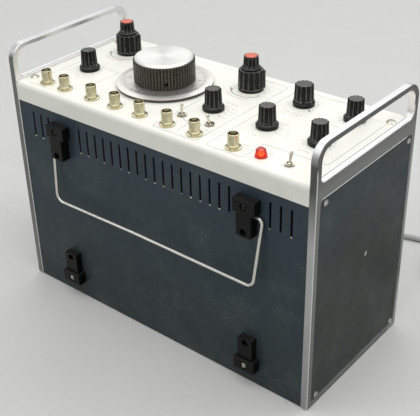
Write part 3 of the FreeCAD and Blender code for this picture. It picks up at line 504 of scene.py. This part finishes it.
def frame_metal():
    """Satin cast aluminium with scratches, and painted light and shade: shade on the outer sides, near faces
    and undersides, light on the tops, chamfers, inner sides and far posts.
    """
    finish = Finish("frame_aluminium", Metallic=1.0)
    cloud = finish.noise(55, 5)
    scratches = finish.span(finish.noise(2.0, 6, 0.8, stretch=(1, 1, 0.2)), 0.60, 0.72)
    side = finish.ramp("X", -10, 10, -1.0, 1.0)
    out = finish.times(finish.facing("X"), side)
    base = finish.coats(finish.blend(cloud, (0.38, 0.385, 0.38), (0.52, 0.525, 0.52)),
                        *frame_sides(finish, out), *frame_near_faces(finish, side), *frame_tops(finish),
                        (finish.times(scratches, 0.4), (0.24, 0.24, 0.24)), *frame_chamfers(finish, out))
    finish.bump(finish.noise(0.5, 3, stretch=(1, 1, 0.15)), 0.15, 0.06)
    return finish.done(base, cloud, 0.30, 0.42)


def slot_end_chips(finish):
    """Bare spots at the lower ends of many vent slots, none beyond the row or between its groups."""
    shifted = finish.calc("ADD", finish.axis("X"), VENT_SHIFT * MM)
    along = finish.calc("PINGPONG", shifted, VENT_PITCH / 2 * MM)
    aside = finish.calc("ABSOLUTE", finish.axis("X"))
    row = finish.times(finish.span(aside, VENT_REACH * MM, (VENT_REACH - 1) * MM),
                       finish.span(finish.off(aside, VENT_GAP_X * MM), (VENT_GAP - 1) * MM, VENT_GAP * MM))
    below = finish.off(finish.axis("Z"), (VENT_LOW - CHIP_DROP) * MM)
    spots = finish.times(finish.span(along, 1.2 * MM, 0.7 * MM), finish.span(below, 0.8 * MM, 0.5 * MM))
    some = finish.span(finish.noise(9, 2, 0.7, stretch=(1, 0, 0)), 0.42, 0.56)
    return finish.times(spots, row, some, finish.aligned(finish.facing("Y"), -1))


def cover_chip(finish):
    """One bare, slanting chip on the right cover."""
    rise = finish.calc("SUBTRACT", finish.axis("Z"), CHIP_Z * MM)
    depth = finish.calc("SUBTRACT", finish.axis("Y"), CHIP_Y * MM)
    across = finish.calc("SUBTRACT", depth, finish.times(rise, CHIP_SLANT))
    return finish.times(finish.span(finish.calc("ABSOLUTE", across), 1.3 * MM, 0.7 * MM),
                        finish.span(finish.calc("ABSOLUTE", rise), 2.4 * MM, 1.6 * MM),
                        finish.span(finish.facing("X"), 0.5, 0.9))


def cover_paint():
    """Dark slate enamel with pale flecks, dusty patches, scuffs, chips and rust-brown stains low down."""
    finish = Finish("slate_enamel", Specular_IOR_Level=0.22)
    cloud = finish.noise(45, 5)
    sides = finish.times(finish.span(finish.calc("ABSOLUTE", finish.facing("X")), 0.5, 0.9),
                         finish.ramp("Z", 210, 130, 0.45, 1.0))
    olive = finish.times(sides, finish.span(finish.noise(48, 4, 0.6, shift=(0, 2, 1)), 0.44, 0.62))
    dusty = finish.span(finish.noise(30, 4, 0.7), 0.48, 0.66)
    flecks = finish.calc("MAXIMUM", finish.span(finish.cells(3.4), 0.17, 0.10),
                         finish.span(finish.cells(6.5, shift=(3, 1, 2)), 0.10, 0.07))
    scuffs = finish.span(finish.noise(1.4, 6, 0.8, stretch=(0.25, 0.25, 1)), 0.64, 0.74)
    stains = finish.times(finish.ramp("Z", 85, 0), finish.span(finish.noise(7, 5, 0.7), 0.55, 0.68))
    chips = finish.calc("MAXIMUM", slot_end_chips(finish), cover_chip(finish))
    base = finish.coats(finish.blend(cloud, (0.020, 0.033, 0.044), (0.028, 0.043, 0.056)),
                        (finish.ramp("Z", 200, 30, 0.0, 0.7), (0.022, 0.031, 0.031)),
                        (finish.times(sides, 0.75), (0.021, 0.026, 0.023)),
                        (finish.times(olive, 0.7), (0.026, 0.026, 0.016)),
                        (finish.times(dusty, 0.12), (0.11, 0.13, 0.12)),
                        (finish.times(flecks, finish.span(dusty, 0.0, 1.0, 0.08, 0.42)), (0.26, 0.29, 0.30)),
                        (finish.times(scuffs, 0.3), (0.10, 0.12, 0.12)),
                        (finish.times(stains, 0.5), (0.10, 0.065, 0.035)),
                        (chips, (0.62, 0.60, 0.52)))
    finish.bump(finish.noise(0.7, 3), 0.25, 0.12)
    return finish.done(base, cloud, 0.42, 0.56)


def panel_enamel():
    """Ivory enamel, slightly yellowed in patches and dusted with specks, with blotchy painted shade on its
    near face.
    """
    finish = Finish("ivory_enamel", Specular_IOR_Level=0.35)
    cloud = finish.noise(38, 5)
    specks = finish.span(finish.noise(2.2, 6, 0.8), 0.66, 0.76)
    # painted shade on the near face, blotchy in strength
    near_face_shade = finish.times(finish.span(finish.facing("Y"), -0.25, -0.95),
                         finish.span(finish.noise(24, 5), 0.3, 0.7, 0.50, 0.66))
    base = finish.coats(finish.blend(cloud, (0.865, 0.86, 0.775), (0.915, 0.91, 0.83)),
                        (near_face_shade, (0.50, 0.50, 0.455)), (finish.times(specks, 0.35), (0.42, 0.38, 0.32)))
    finish.bump(finish.noise(0.8, 3), 0.12, 0.08)
    return finish.done(base, cloud, 0.32, 0.46)


def moulded_plastic(name, dark, light, rough, dust=0.0, gloss=0.4):
    """Moulded plastic: fine grain, cloudy colour, and dust where it faces up."""
    finish = Finish(name, Specular_IOR_Level=gloss)
    cloud = finish.noise(14, 5)
    settled = finish.times(finish.span(finish.facing("Z"), 0.6, 1.0),
                           finish.span(finish.noise(2.5, 6, 0.75), 0.3, 0.75, 0.0, dust))
    base = finish.coats(finish.blend(cloud, dark, light), (settled, DUST))
    finish.bump(finish.noise(0.5, 3), 0.15, 0.06)
    return finish.done(base, cloud, rough - 0.05, rough + 0.08)


def knob_plastic(node, ridge_r, start_down, end_down, lean):
    """Glossy black knob: ridges greyed by wear and a painted highlight, a ledge under them with dust and a
    painted highlight, dust on all that faces up.

    The ridges start start_down under the knob's top, ridge_r from its axis, and end at end_down, leaning
    in towards the axis as they rise.
    """
    low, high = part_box(node)
    axis = (low + high) / 2
    start = high.z - start_down * MM
    end = high.z - end_down * MM
    finish = Finish(f"{node}_black", Specular_IOR_Level=0.24)
    height = finish.axis("Z")
    inwards = finish.times(finish.calc("SUBTRACT", height, start), lean)
    reach = finish.calc("ADD", finish.radius_from(axis.x, axis.y), inwards)
    # ridges greyed by wear and by a painted highlight
    ridge_wear_and_highlight = finish.times(finish.span(reach, (ridge_r - 0.5) * MM, (ridge_r - 0.1) * MM),
                          finish.span(height, start - 0.3 * MM, start),
                          finish.span(height, end, end - 0.4 * MM),
                          finish.span(finish.noise(3.0, 5, 0.7, stretch=(1, 1, 0.35)), 0.38, 0.62, 0.25, 1.0))
    # ledge under the ridges: dust and a painted highlight
    ledge = finish.times(finish.span(finish.off(height, start), 0.7 * MM, 0.3 * MM),
                         finish.span(reach, (ridge_r + 1.2) * MM, (ridge_r + 0.6) * MM),
                         finish.span(finish.noise(1.6, 3, 0.7), 0.46, 0.60, 0.0, 0.75))
    settled = finish.times(finish.span(finish.facing("Z"), 0.55, 0.95),
                           finish.span(finish.noise(2.5, 6, 0.75), 0.3, 0.75, 0.05, 0.3))
    base = finish.coats(finish.blend(finish.noise(14, 5), (0.002, 0.002, 0.002), (0.005, 0.005, 0.0045)),
                        (finish.times(ridge_wear_and_highlight, 0.75), (0.10, 0.099, 0.096)), (ledge, (0.30, 0.295, 0.28)),
                        (settled, DUST))
    finish.bump(finish.noise(0.5, 3), 0.15, 0.06)
    return finish.done(base, finish.noise(8, 4), 0.13, 0.24)


def rubbed_ribs():
    """Brown-black dial knob, the tips of its ribs pale from wear and a painted highlight."""
    low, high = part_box("dial_knob")
    axis = (low + high) / 2
    tip = (high.x - low.x) / 2
    finish = Finish("dial_knob_black", Specular_IOR_Level=0.35)
    # rib tips pale from wear and a painted highlight
    ribs = finish.times(finish.span(finish.radius_from(axis.x, axis.y), tip - 0.5 * MM, tip - 0.1 * MM),
                        finish.span(finish.noise(3.0, 5, 0.7), 0.35, 0.65, 0.2, 0.9))
    base = finish.coats(finish.blend(finish.noise(14, 5), (0.007, 0.006, 0.004), (0.020, 0.017, 0.012)),
                        (ribs, (0.088, 0.082, 0.060)))
    finish.bump(finish.noise(0.5, 3), 0.15, 0.06)
    return finish.done(base, finish.noise(8, 4), 0.25, 0.38)


def screws_in_feet():
    """Screws of the feet, darker in the upper ones and bright in the lower ones."""
    finish = Finish("foot_screw_steel", Metallic=1.0)
    cloud = finish.noise(2.0, 4)
    # darker on the screws of the upper feet
    base = finish.coats(finish.blend(cloud, (0.42, 0.38, 0.30), (0.72, 0.68, 0.58)),
                        (finish.ramp("Z", 80, 120), (0.035, 0.033, 0.03)))
    finish.bump(cloud, 0.3, 0.08)
    return finish.done(base, cloud, 0.22, 0.4)


def nut_nickel():
    """Hexagon nuts: bright tops, and sides darkened by painted shade."""
    finish = Finish("nut_nickel", Metallic=1.0)
    cloud = finish.noise(3, 4)
    base = finish.coats(finish.blend(cloud, (0.58, 0.54, 0.43), (0.86, 0.83, 0.74)),
                        # painted shade on the sides
                        (finish.span(finish.facing("Z"), 0.6, 0.3, 0.0, 0.8), (0.15, 0.13, 0.09)))
    finish.bump(cloud, 0.2, 0.05)
    return finish.done(base, cloud, 0.18, 0.30)


def spun_metal(name, node, dark, light, rough, anisotropy, tarnish_r=None):
    """Lathe-turned metal: fine rings about the node's own axis, mottled inside tarnish_r if that is given."""
    low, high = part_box(node)
    axis = (low + high) / 2
    finish = Finish(name, Metallic=1.0, Anisotropic=anisotropy)
    radius = finish.radius_from(axis.x, axis.y)
    texture = finish.nodes.new("ShaderNodeTexNoise")
    texture.noise_dimensions = "1D"
    texture.inputs["Scale"].default_value = 1 / (RING_WIDTH * MM)
    texture.inputs["Detail"].default_value = 3
    finish.links.new(radius, texture.inputs["W"])
    rings = texture.outputs["Fac"]
    base = finish.blend(finish.times(rings, finish.noise(18, 5)), dark, light)
    if tarnish_r:
        mottled = finish.times(finish.span(radius, (tarnish_r + 0.4) * MM, tarnish_r * MM),
                               finish.span(finish.noise(2.5, 5, 0.75), 0.35, 0.65, 0.1, 0.8))
        base = finish.blend(mottled, base, (0.57, 0.56, 0.53))
    finish.bump(rings, 0.25, 0.05)
    return finish.done(base, rings, rough - 0.05, rough + 0.08)


def lamp_glass():
    """Clear red lens, cloudy like moulded plastic and a deeper red towards its top."""
    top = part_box("pilot_lamp_lens")[1].z
    finish = Finish("lamp_red", IOR=1.45, Transmission_Weight=0.85, Emission_Strength=0.12,
                    Emission_Color=(1.0, 0.03, 0.01, 1.0))
    cloud = finish.noise(2.0, 3)
    deep = finish.span(finish.axis("Z"), top - 3.2 * MM, top - 0.8 * MM, 0.0, 0.9)
    base = finish.coats(finish.blend(cloud, (0.85, 0.03, 0.015), (0.95, 0.09, 0.05)),
                        (deep, (0.42, 0.008, 0.004)))
    finish.bump(finish.cells(1.6), 0.25, 0.2)
    return finish.done(base, cloud, 0.08, 0.18)


def lamp_filament():
    """Small bulb that glows orange."""
    finish = Finish("lamp_glow", Roughness=0.4, Emission_Strength=1.5)
    cloud = finish.noise(1.2, 2)
    glow = finish.blend(cloud, (1.0, 0.30, 0.05), (1.0, 0.55, 0.16))
    finish.feed(finish.shader.inputs["Emission Color"], glow)
    finish.bump(cloud, 0.2, 0.05)
    return finish.done(finish.blend(cloud, (0.85, 0.55, 0.25), (0.95, 0.70, 0.40)))


def ink(name, dark, light):
    """Printing ink, worn in fine patches."""
    finish = Finish(name)
    worn = finish.noise(1.2, 5, 0.7)
    finish.bump(finish.noise(0.4, 2), 0.1, 0.02)
    return finish.done(finish.blend(worn, dark, light), worn, 0.48, 0.62)


def laminate(name, dark, light, rough):
    """Stacked or woven material with fine level layers."""
    finish = Finish(name)
    weave = finish.noise(1.1, 3, stretch=(1, 1, 6))
    finish.bump(weave, 0.3, 0.1)
    base = finish.blend(finish.times(weave, finish.noise(25, 4)), dark, light)
    return finish.done(base, weave, rough - 0.08, rough + 0.08)


def plug_moulding():
    """Grey moulded plug with bare metal pins at its near end."""
    finish = Finish("plug_grey")
    cloud = finish.noise(14, 5)
    pin_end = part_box("mains_plug")[0].y + PIN_REACH * MM
    pins = finish.span(finish.axis("Y"), pin_end + 0.1 * MM, pin_end - 0.1 * MM)
    metal = finish.blend(finish.noise(1.5, 4), (0.50, 0.47, 0.38), (0.78, 0.74, 0.62))
    base = finish.coats(finish.blend(cloud, (0.50, 0.50, 0.49), (0.60, 0.60, 0.59)), (pins, metal))
    finish.feed(finish.shader.inputs["Metallic"], pins)
    finish.bump(finish.noise(0.5, 3), 0.15, 0.06)
    return finish.done(base, cloud, 0.30, 0.48)


def metal_finishes():
    """Finishes of the metal slots."""
    return {
        "frame_aluminium": frame_metal(),
        "screw_steel": brushed_metal("screw_steel", (0.42, 0.40, 0.37), (0.62, 0.60, 0.56), 0.32, size=4),
        "washer_brass": brushed_metal("washer_brass", (0.60, 0.54, 0.42), (0.82, 0.76, 0.62), 0.3, size=5),
        "rail_aluminium": brushed_metal("rail_aluminium", (0.45, 0.45, 0.46), (0.6, 0.6, 0.6), 0.42,
                                        streak=(0.08, 1, 1)),
        "bail_steel": brushed_metal("bail_chrome", (0.53, 0.515, 0.475), (0.76, 0.74, 0.69), 0.32, size=35,
                                    wear=0.1),
        "control_steel": brushed_metal("control_steel", (0.5, 0.5, 0.48), (0.65, 0.65, 0.62), 0.35, size=9),
        "dial_aluminium": spun_metal("dial_satin", "dial_disk", (0.78, 0.76, 0.72), (0.92, 0.90, 0.86), 0.45,
                                     0.2, TARNISH_R),
        "dial_cap_aluminium": spun_metal("dial_cap_spun", "dial_knob_cap", (0.77, 0.76, 0.72),
                                         (0.98, 0.97, 0.94), 0.34, 0.65),
        "shaft_steel": brushed_metal("shaft_steel", (0.5, 0.5, 0.5), (0.7, 0.7, 0.7), 0.28, size=6),
        "toggle_nickel": brushed_metal("toggle_nickel", (0.46, 0.42, 0.33), (0.82, 0.79, 0.72), 0.16, size=3),
        "lamp_collar": brushed_metal("lamp_collar", (0.6, 0.57, 0.52), (0.8, 0.77, 0.72), 0.25, size=5),
        "socket_nickel": brushed_metal("socket_nickel", (0.33, 0.29, 0.165), (0.77, 0.72, 0.52), 0.24,
                                       size=3),
        "board_parts_metal": brushed_metal("board_parts", (0.4, 0.4, 0.41), (0.55, 0.55, 0.56), 0.4, size=12)}


def other_finishes():
    """Finishes of the painted, moulded and printed slots."""
    return {
        "cover_paint": cover_paint(),
        "panel_enamel": panel_enamel(),
        "rear_panel_paint": moulded_plastic("rear_paint", (0.25, 0.26, 0.26), (0.33, 0.34, 0.34), 0.5),
        "foot_plastic": moulded_plastic("foot_black", (0.0015, 0.0015, 0.0015), (0.004, 0.004, 0.0035), 0.3,
                                        dust=0.06, gloss=0.14),
        "dial_knob_black": rubbed_ribs(),
        "lamp_red": lamp_glass(),
        "lamp_glow": lamp_filament(),
        "insulator_white": moulded_plastic("insulator_cream", (0.50, 0.46, 0.38), (0.62, 0.58, 0.50), 0.45),
        "core_steel": laminate("core_laminations", (0.05, 0.05, 0.055), (0.16, 0.16, 0.17), 0.45),
        "winding_tape": laminate("winding_tape", (0.45, 0.35, 0.12), (0.62, 0.50, 0.22), 0.5),
        "board_green": laminate("board_green", (0.02, 0.09, 0.05), (0.05, 0.16, 0.09), 0.4),
        "fuse_black": moulded_plastic("fuse_black", (0.014, 0.014, 0.014), (0.026, 0.026, 0.026), 0.35),
        "relief_rubber": moulded_plastic("relief_rubber", (0.30, 0.30, 0.30), (0.37, 0.37, 0.37), 0.6),
        "cord_grey": moulded_plastic("cord_grey", (0.36, 0.36, 0.35), (0.46, 0.46, 0.45), 0.5),
        "cap_red": moulded_plastic("cap_red", (0.60, 0.085, 0.045), (0.72, 0.15, 0.08), 0.42, dust=0.2),
        "ink_grey": ink("ink_grey", (0.26, 0.27, 0.30), (0.40, 0.41, 0.44)),
        "ink_words": ink("ink_words", (0.13, 0.14, 0.13), (0.30, 0.31, 0.30)),
        "ink_red": ink("ink_red", (0.50, 0.10, 0.07), (0.66, 0.24, 0.18)),
        "ink_blue": ink("ink_blue", (0.12, 0.18, 0.45), (0.24, 0.32, 0.60)),
        "ink_black": ink("ink_black", (0.02, 0.02, 0.02), (0.06, 0.06, 0.06)),
        "ink_dark": ink("ink_dark", (0.07, 0.065, 0.06), (0.17, 0.16, 0.15))}


def own_finishes():
    """Finishes of the nodes that do not simply take their slot's."""
    own = {"foot_screws": screws_in_feet(), "mains_plug": plug_moulding(), "panel_nuts": nut_nickel()}
    ridges = {f"{name}_knob": SINGLE_RIDGES for name in KNOBS}
    ridges["symmetry_knob"] = SYMMETRY_RIDGES
    for name in DUALS:
        ridges[f"{name}_coarse_knob"] = COARSE_RIDGES
        ridges[f"{name}_fine_knob"] = FINE_RIDGES
    for node, sizes in ridges.items():
        own[node] = knob_plastic(node, *sizes)
    return own


def paint_nodes(finishes):
    """Give every CAD node its own finish if it has one, or its slot's."""
    own = own_finishes()
    for entry in frame["record"]["subparts"]:
        name = entry["node"]
        node = frame["nodes"][name]
        node.data.materials.clear()
        node.data.materials.append(own[name] if name in own else finishes[entry["material_slot"]])


# ---------------------------------------------------------------- printing
class Sheet:
    """Flat marks gathered into one thin mesh at a given height."""

    def __init__(self, height):
        self.height = height
        self.vertices = []
        self.faces = []

    def patch(self, corners):
        """One flat face."""
        first = len(self.vertices)
        self.vertices += [place(x, y, self.height) for x, y in corners]
        self.faces.append(tuple(range(first, first + len(corners))))

    def stroke(self, start, end, width):
        """Straight mark with square ends that reach half a width past both points."""
        along = (Vector(end) - Vector(start)).normalized() * width / 2
        across = Vector((-along.y, along.x))
        a, b = Vector(start) - along, Vector(end) + along
        self.patch([a - across, b - across, b + across, a + across])

    def path(self, points, width):
        """Straight marks from point to point."""
        for start, end in zip(points, points[1:]):
            self.stroke(start, end, width)

    def arc(self, middle, radius, first, last, width):
        """Arc drawn in short straight marks."""
        steps = max(2, round(abs(last - first) / ARC_STEP))
        angles = [first + (last - first) * k / steps for k in range(steps + 1)]
        self.path([ring_point(middle, radius, angle) for angle in angles], width)

    def tick(self, middle, inner, outer, angle, width):
        """Mark along a radius."""
        self.stroke(ring_point(middle, inner, angle), ring_point(middle, outer, angle), width)

    def piece(self, name, finish, body):
        """Turn the marks into a piece that moves with a body."""
        add_mesh(name, self.vertices, self.faces, finish, body)



def captions(sheet):
    """Rows of short bars where the panel is captioned; they spell nothing."""
    for x, y, width in CAPTIONS:
        spot = x - width / 2
        while spot < x + width / 2:
            length = random.uniform(0.5, 1.5)
            sheet.stroke((spot, y), (spot + length, y), random.uniform(0.35, 0.6))
            spot += length + random.uniform(0.9, 1.6)


def dual_scales(grey, red):
    """Arcs and ticks round the two dual controls."""
    for name in DUALS:
        middle = centre(f"{name}_fine_cap")
        grey.arc(middle, *DUAL_GREY_ARC)
        for arc in DUAL_RED_ARCS:
            red.arc(middle, *arc)
        for angle in DUAL_TICK_ANGLES:
            grey.tick(middle, *DUAL_TICK_REACH, angle, DUAL_TICK_W)


def panel_printing(finishes):
    """Section lines, control ticks, dual-knob scales and caption bars."""
    height = PANEL_Z / MM + INK_LIFT
    grey = Sheet(height)
    red = Sheet(height + 0.01)
    blue = Sheet(height)
    for line in SECTION_LINES:
        grey.path(line, LINE_W)
    for line in LINK_LINES:
        blue.path(line, LINE_W)
    for name, (first, last, step) in TICK_FANS.items():
        for angle in range(first, last + 1, step):
            grey.tick(centre(f"{name}_knob"), *TICK_REACH, angle, TICK_W)
    dual_scales(grey, red)
    words = Sheet(height + 0.03)
    captions(words)
    words.piece("panel_captions", finishes["ink_words"], "case")
    grey.piece("panel_lines_grey", finishes["ink_grey"], "case")
    red.piece("panel_lines_red", finishes["ink_red"], "case")
    blue.piece("panel_lines_blue", finishes["ink_blue"], "case")
    pointer = Sheet(height + 0.02)
    pointer.tick(centre("symmetry_knob"), *SYMMETRY_MARK, 1.0)
    pointer.piece("panel_marks_black", finishes["ink_black"], "case")


def dial_digits(middle, finish):
    """Numbers 1 to 10 that read from the rim inwards."""
    for number in range(1, 11):
        angle = SCALE_START - SCALE_SWEEP * number / 10
        text = bpy.data.curves.new("digit", "FONT")
        text.body = str(number)
        text.size = DIGIT_SIZE * MM
        text.align_x = "CENTER"
        text.align_y = "CENTER"
        holder = bpy.data.objects.new("digit", text)
        x, y = ring_point(middle, DIGIT_RING, angle)
        turn = Matrix.Rotation(math.radians(angle - 90), 4, "Z")
        mesh = bpy.data.meshes.new_from_object(holder)
        mesh.transform(Matrix.Translation(place(x, y, DISK_Z / MM + INK_LIFT)) @ turn)
        mesh.materials.clear()
        mesh.materials.append(finish)
        bpy.data.objects.remove(holder)
        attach(add_object(f"dial_number_{number}", mesh), "dial")


def dial_scale(finish):
    """Fine graduations round the disk, longer at each fifth and tenth mark."""
    middle = centre("dial_disk")
    sheet = Sheet(DISK_Z / MM + INK_LIFT)
    for mark in range(SCALE_MARKS + 1):
        angle = SCALE_START - SCALE_SWEEP * mark / SCALE_MARKS
        length, width = TENTH_MARK if mark % 10 == 0 else FIFTH_MARK if mark % 5 == 0 else PLAIN_MARK
        sheet.tick(middle, SCALE_OUT - length, SCALE_OUT, angle, width)
    sheet.piece("dial_graduations", finish, "dial")
    dial_digits(middle, finish)


def dial_backing(finish):
    """Dark ring under the disk's rim that stands in for the shade in the gap beneath the disk; this painted
    shade shows as a thin line round its lower edge.
    """
    low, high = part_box("dial_disk")
    middle = centre("dial_disk")
    outer = (high.x - low.x) / 2 / MM - 0.1
    top = low.z / MM - 0.02
    rings = [(outer, top), (outer, top - GAP_SHADE_T), (GAP_SHADE_IN, top - GAP_SHADE_T), (GAP_SHADE_IN, top)]
    vertices = [place(*ring_point(middle, radius, 360 * k / GAP_SHADE_SIDES), z)
                for radius, z in rings for k in range(GAP_SHADE_SIDES)]
    faces = []
    for ring in range(len(rings)):
        here = ring * GAP_SHADE_SIDES
        following = (ring + 1) % len(rings) * GAP_SHADE_SIDES
        for k in range(GAP_SHADE_SIDES):
            after = (k + 1) % GAP_SHADE_SIDES
            faces.append((here + k, following + k, following + after, here + after))
    add_mesh("dial_backing", vertices, faces, finish, "dial")


# ---------------------------------------------------------------- lamp
def lamp_bulb(finish):
    """Small lit bulb inside the red lens."""
    low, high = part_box("pilot_lamp_lens")
    middle = (low + high) / 2
    spot = Vector((middle.x, middle.y, PANEL_Z + BULB_UP * MM))
    shape = bmesh.new()
    bmesh.ops.create_uvsphere(shape, u_segments=24, v_segments=16, radius=BULB_R * MM)
    mesh = bpy.data.meshes.new("lamp_bulb")
    shape.to_mesh(mesh)
    shape.free()
    for face in mesh.polygons:
        face.use_smooth = True
    mesh.transform(Matrix.Translation(spot) @ Matrix.Diagonal((1, 1, BULB_STRETCH, 1)))
    mesh.materials.append(finish)
    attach(add_object("lamp_bulb", mesh), "case")


# ---------------------------------------------------------------- cord
def coil_rings():
    """Radius and height of each turn, winding in on one layer and out on the next."""
    rings = []
    for layer in range(COIL_LAYERS):
        height = CORD_LIES + 2 * CORD_R * layer
        radii = (COIL_OUT, COIL_IN) if layer % 2 == 0 else (COIL_IN, COIL_OUT)
        rings += [(radius, height) for radius in radii]
    return rings


def cord_points():
    """The free stretch's route, then the coil's turns, ending straight behind the plug."""
    points = [place(*spot) for spot in CORD_ROUTE]
    rings = coil_rings()
    last = len(rings) * COIL_TURN_POINTS + COIL_TURN_POINTS * COIL_START / 360
    for step in range(1, int(last)):
        turn, share = divmod(step / COIL_TURN_POINTS, 1.0)
        here = rings[min(int(turn), len(rings) - 1)]
        following = rings[min(int(turn) + 1, len(rings) - 1)]
        shift = max(0.0, (share - COIL_SHIFT_FROM) / (1 - COIL_SHIFT_FROM))
        radius = here[0] + (following[0] - here[0]) * shift
        z = here[1] + (following[1] - here[1]) * shift
        angle = COIL_START - 360 * step / COIL_TURN_POINTS
        points.append(place(*ring_point(COIL_CENTRE, radius, angle), z))
    return points


def mains_cord(finish):
    """The visible flex, in place of the two solids that stand for it."""
    data = bpy.data.curves.new("mains_flex", "CURVE")
    data.dimensions = "3D"
    data.bevel_depth = CORD_R * MM
    data.bevel_resolution = 4
    data.resolution_u = 6
    data.use_fill_caps = True
    spline = data.splines.new("NURBS")
    points = cord_points()
    spline.points.add(len(points) - 1)
    for target, spot in zip(spline.points, points):
        target.co = (*spot, 1.0)
    spline.order_u = 3
    spline.use_endpoint_u = True
    data.materials.append(finish)
    flex = add_object("mains_flex", data)
    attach(flex, "case")
    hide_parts("mains_cord", "cord_coil")


# ---------------------------------------------------------------- everything
random.seed(7)
bpy.context.scene.view_settings.view_transform = "Standard"
add_camera()
finishes = {**metal_finishes(), **other_finishes()}
mains_cord(finishes["cord_grey"])
add_studio_world()
add_lights()
add_floor()
paint_nodes(finishes)
panel_printing(finishes)
dial_scale(finishes["ink_dark"])
# dark ring of painted shade under the dial's disk
dial_backing(finishes["dial_knob_black"])
lamp_bulb(finishes["lamp_glow"])
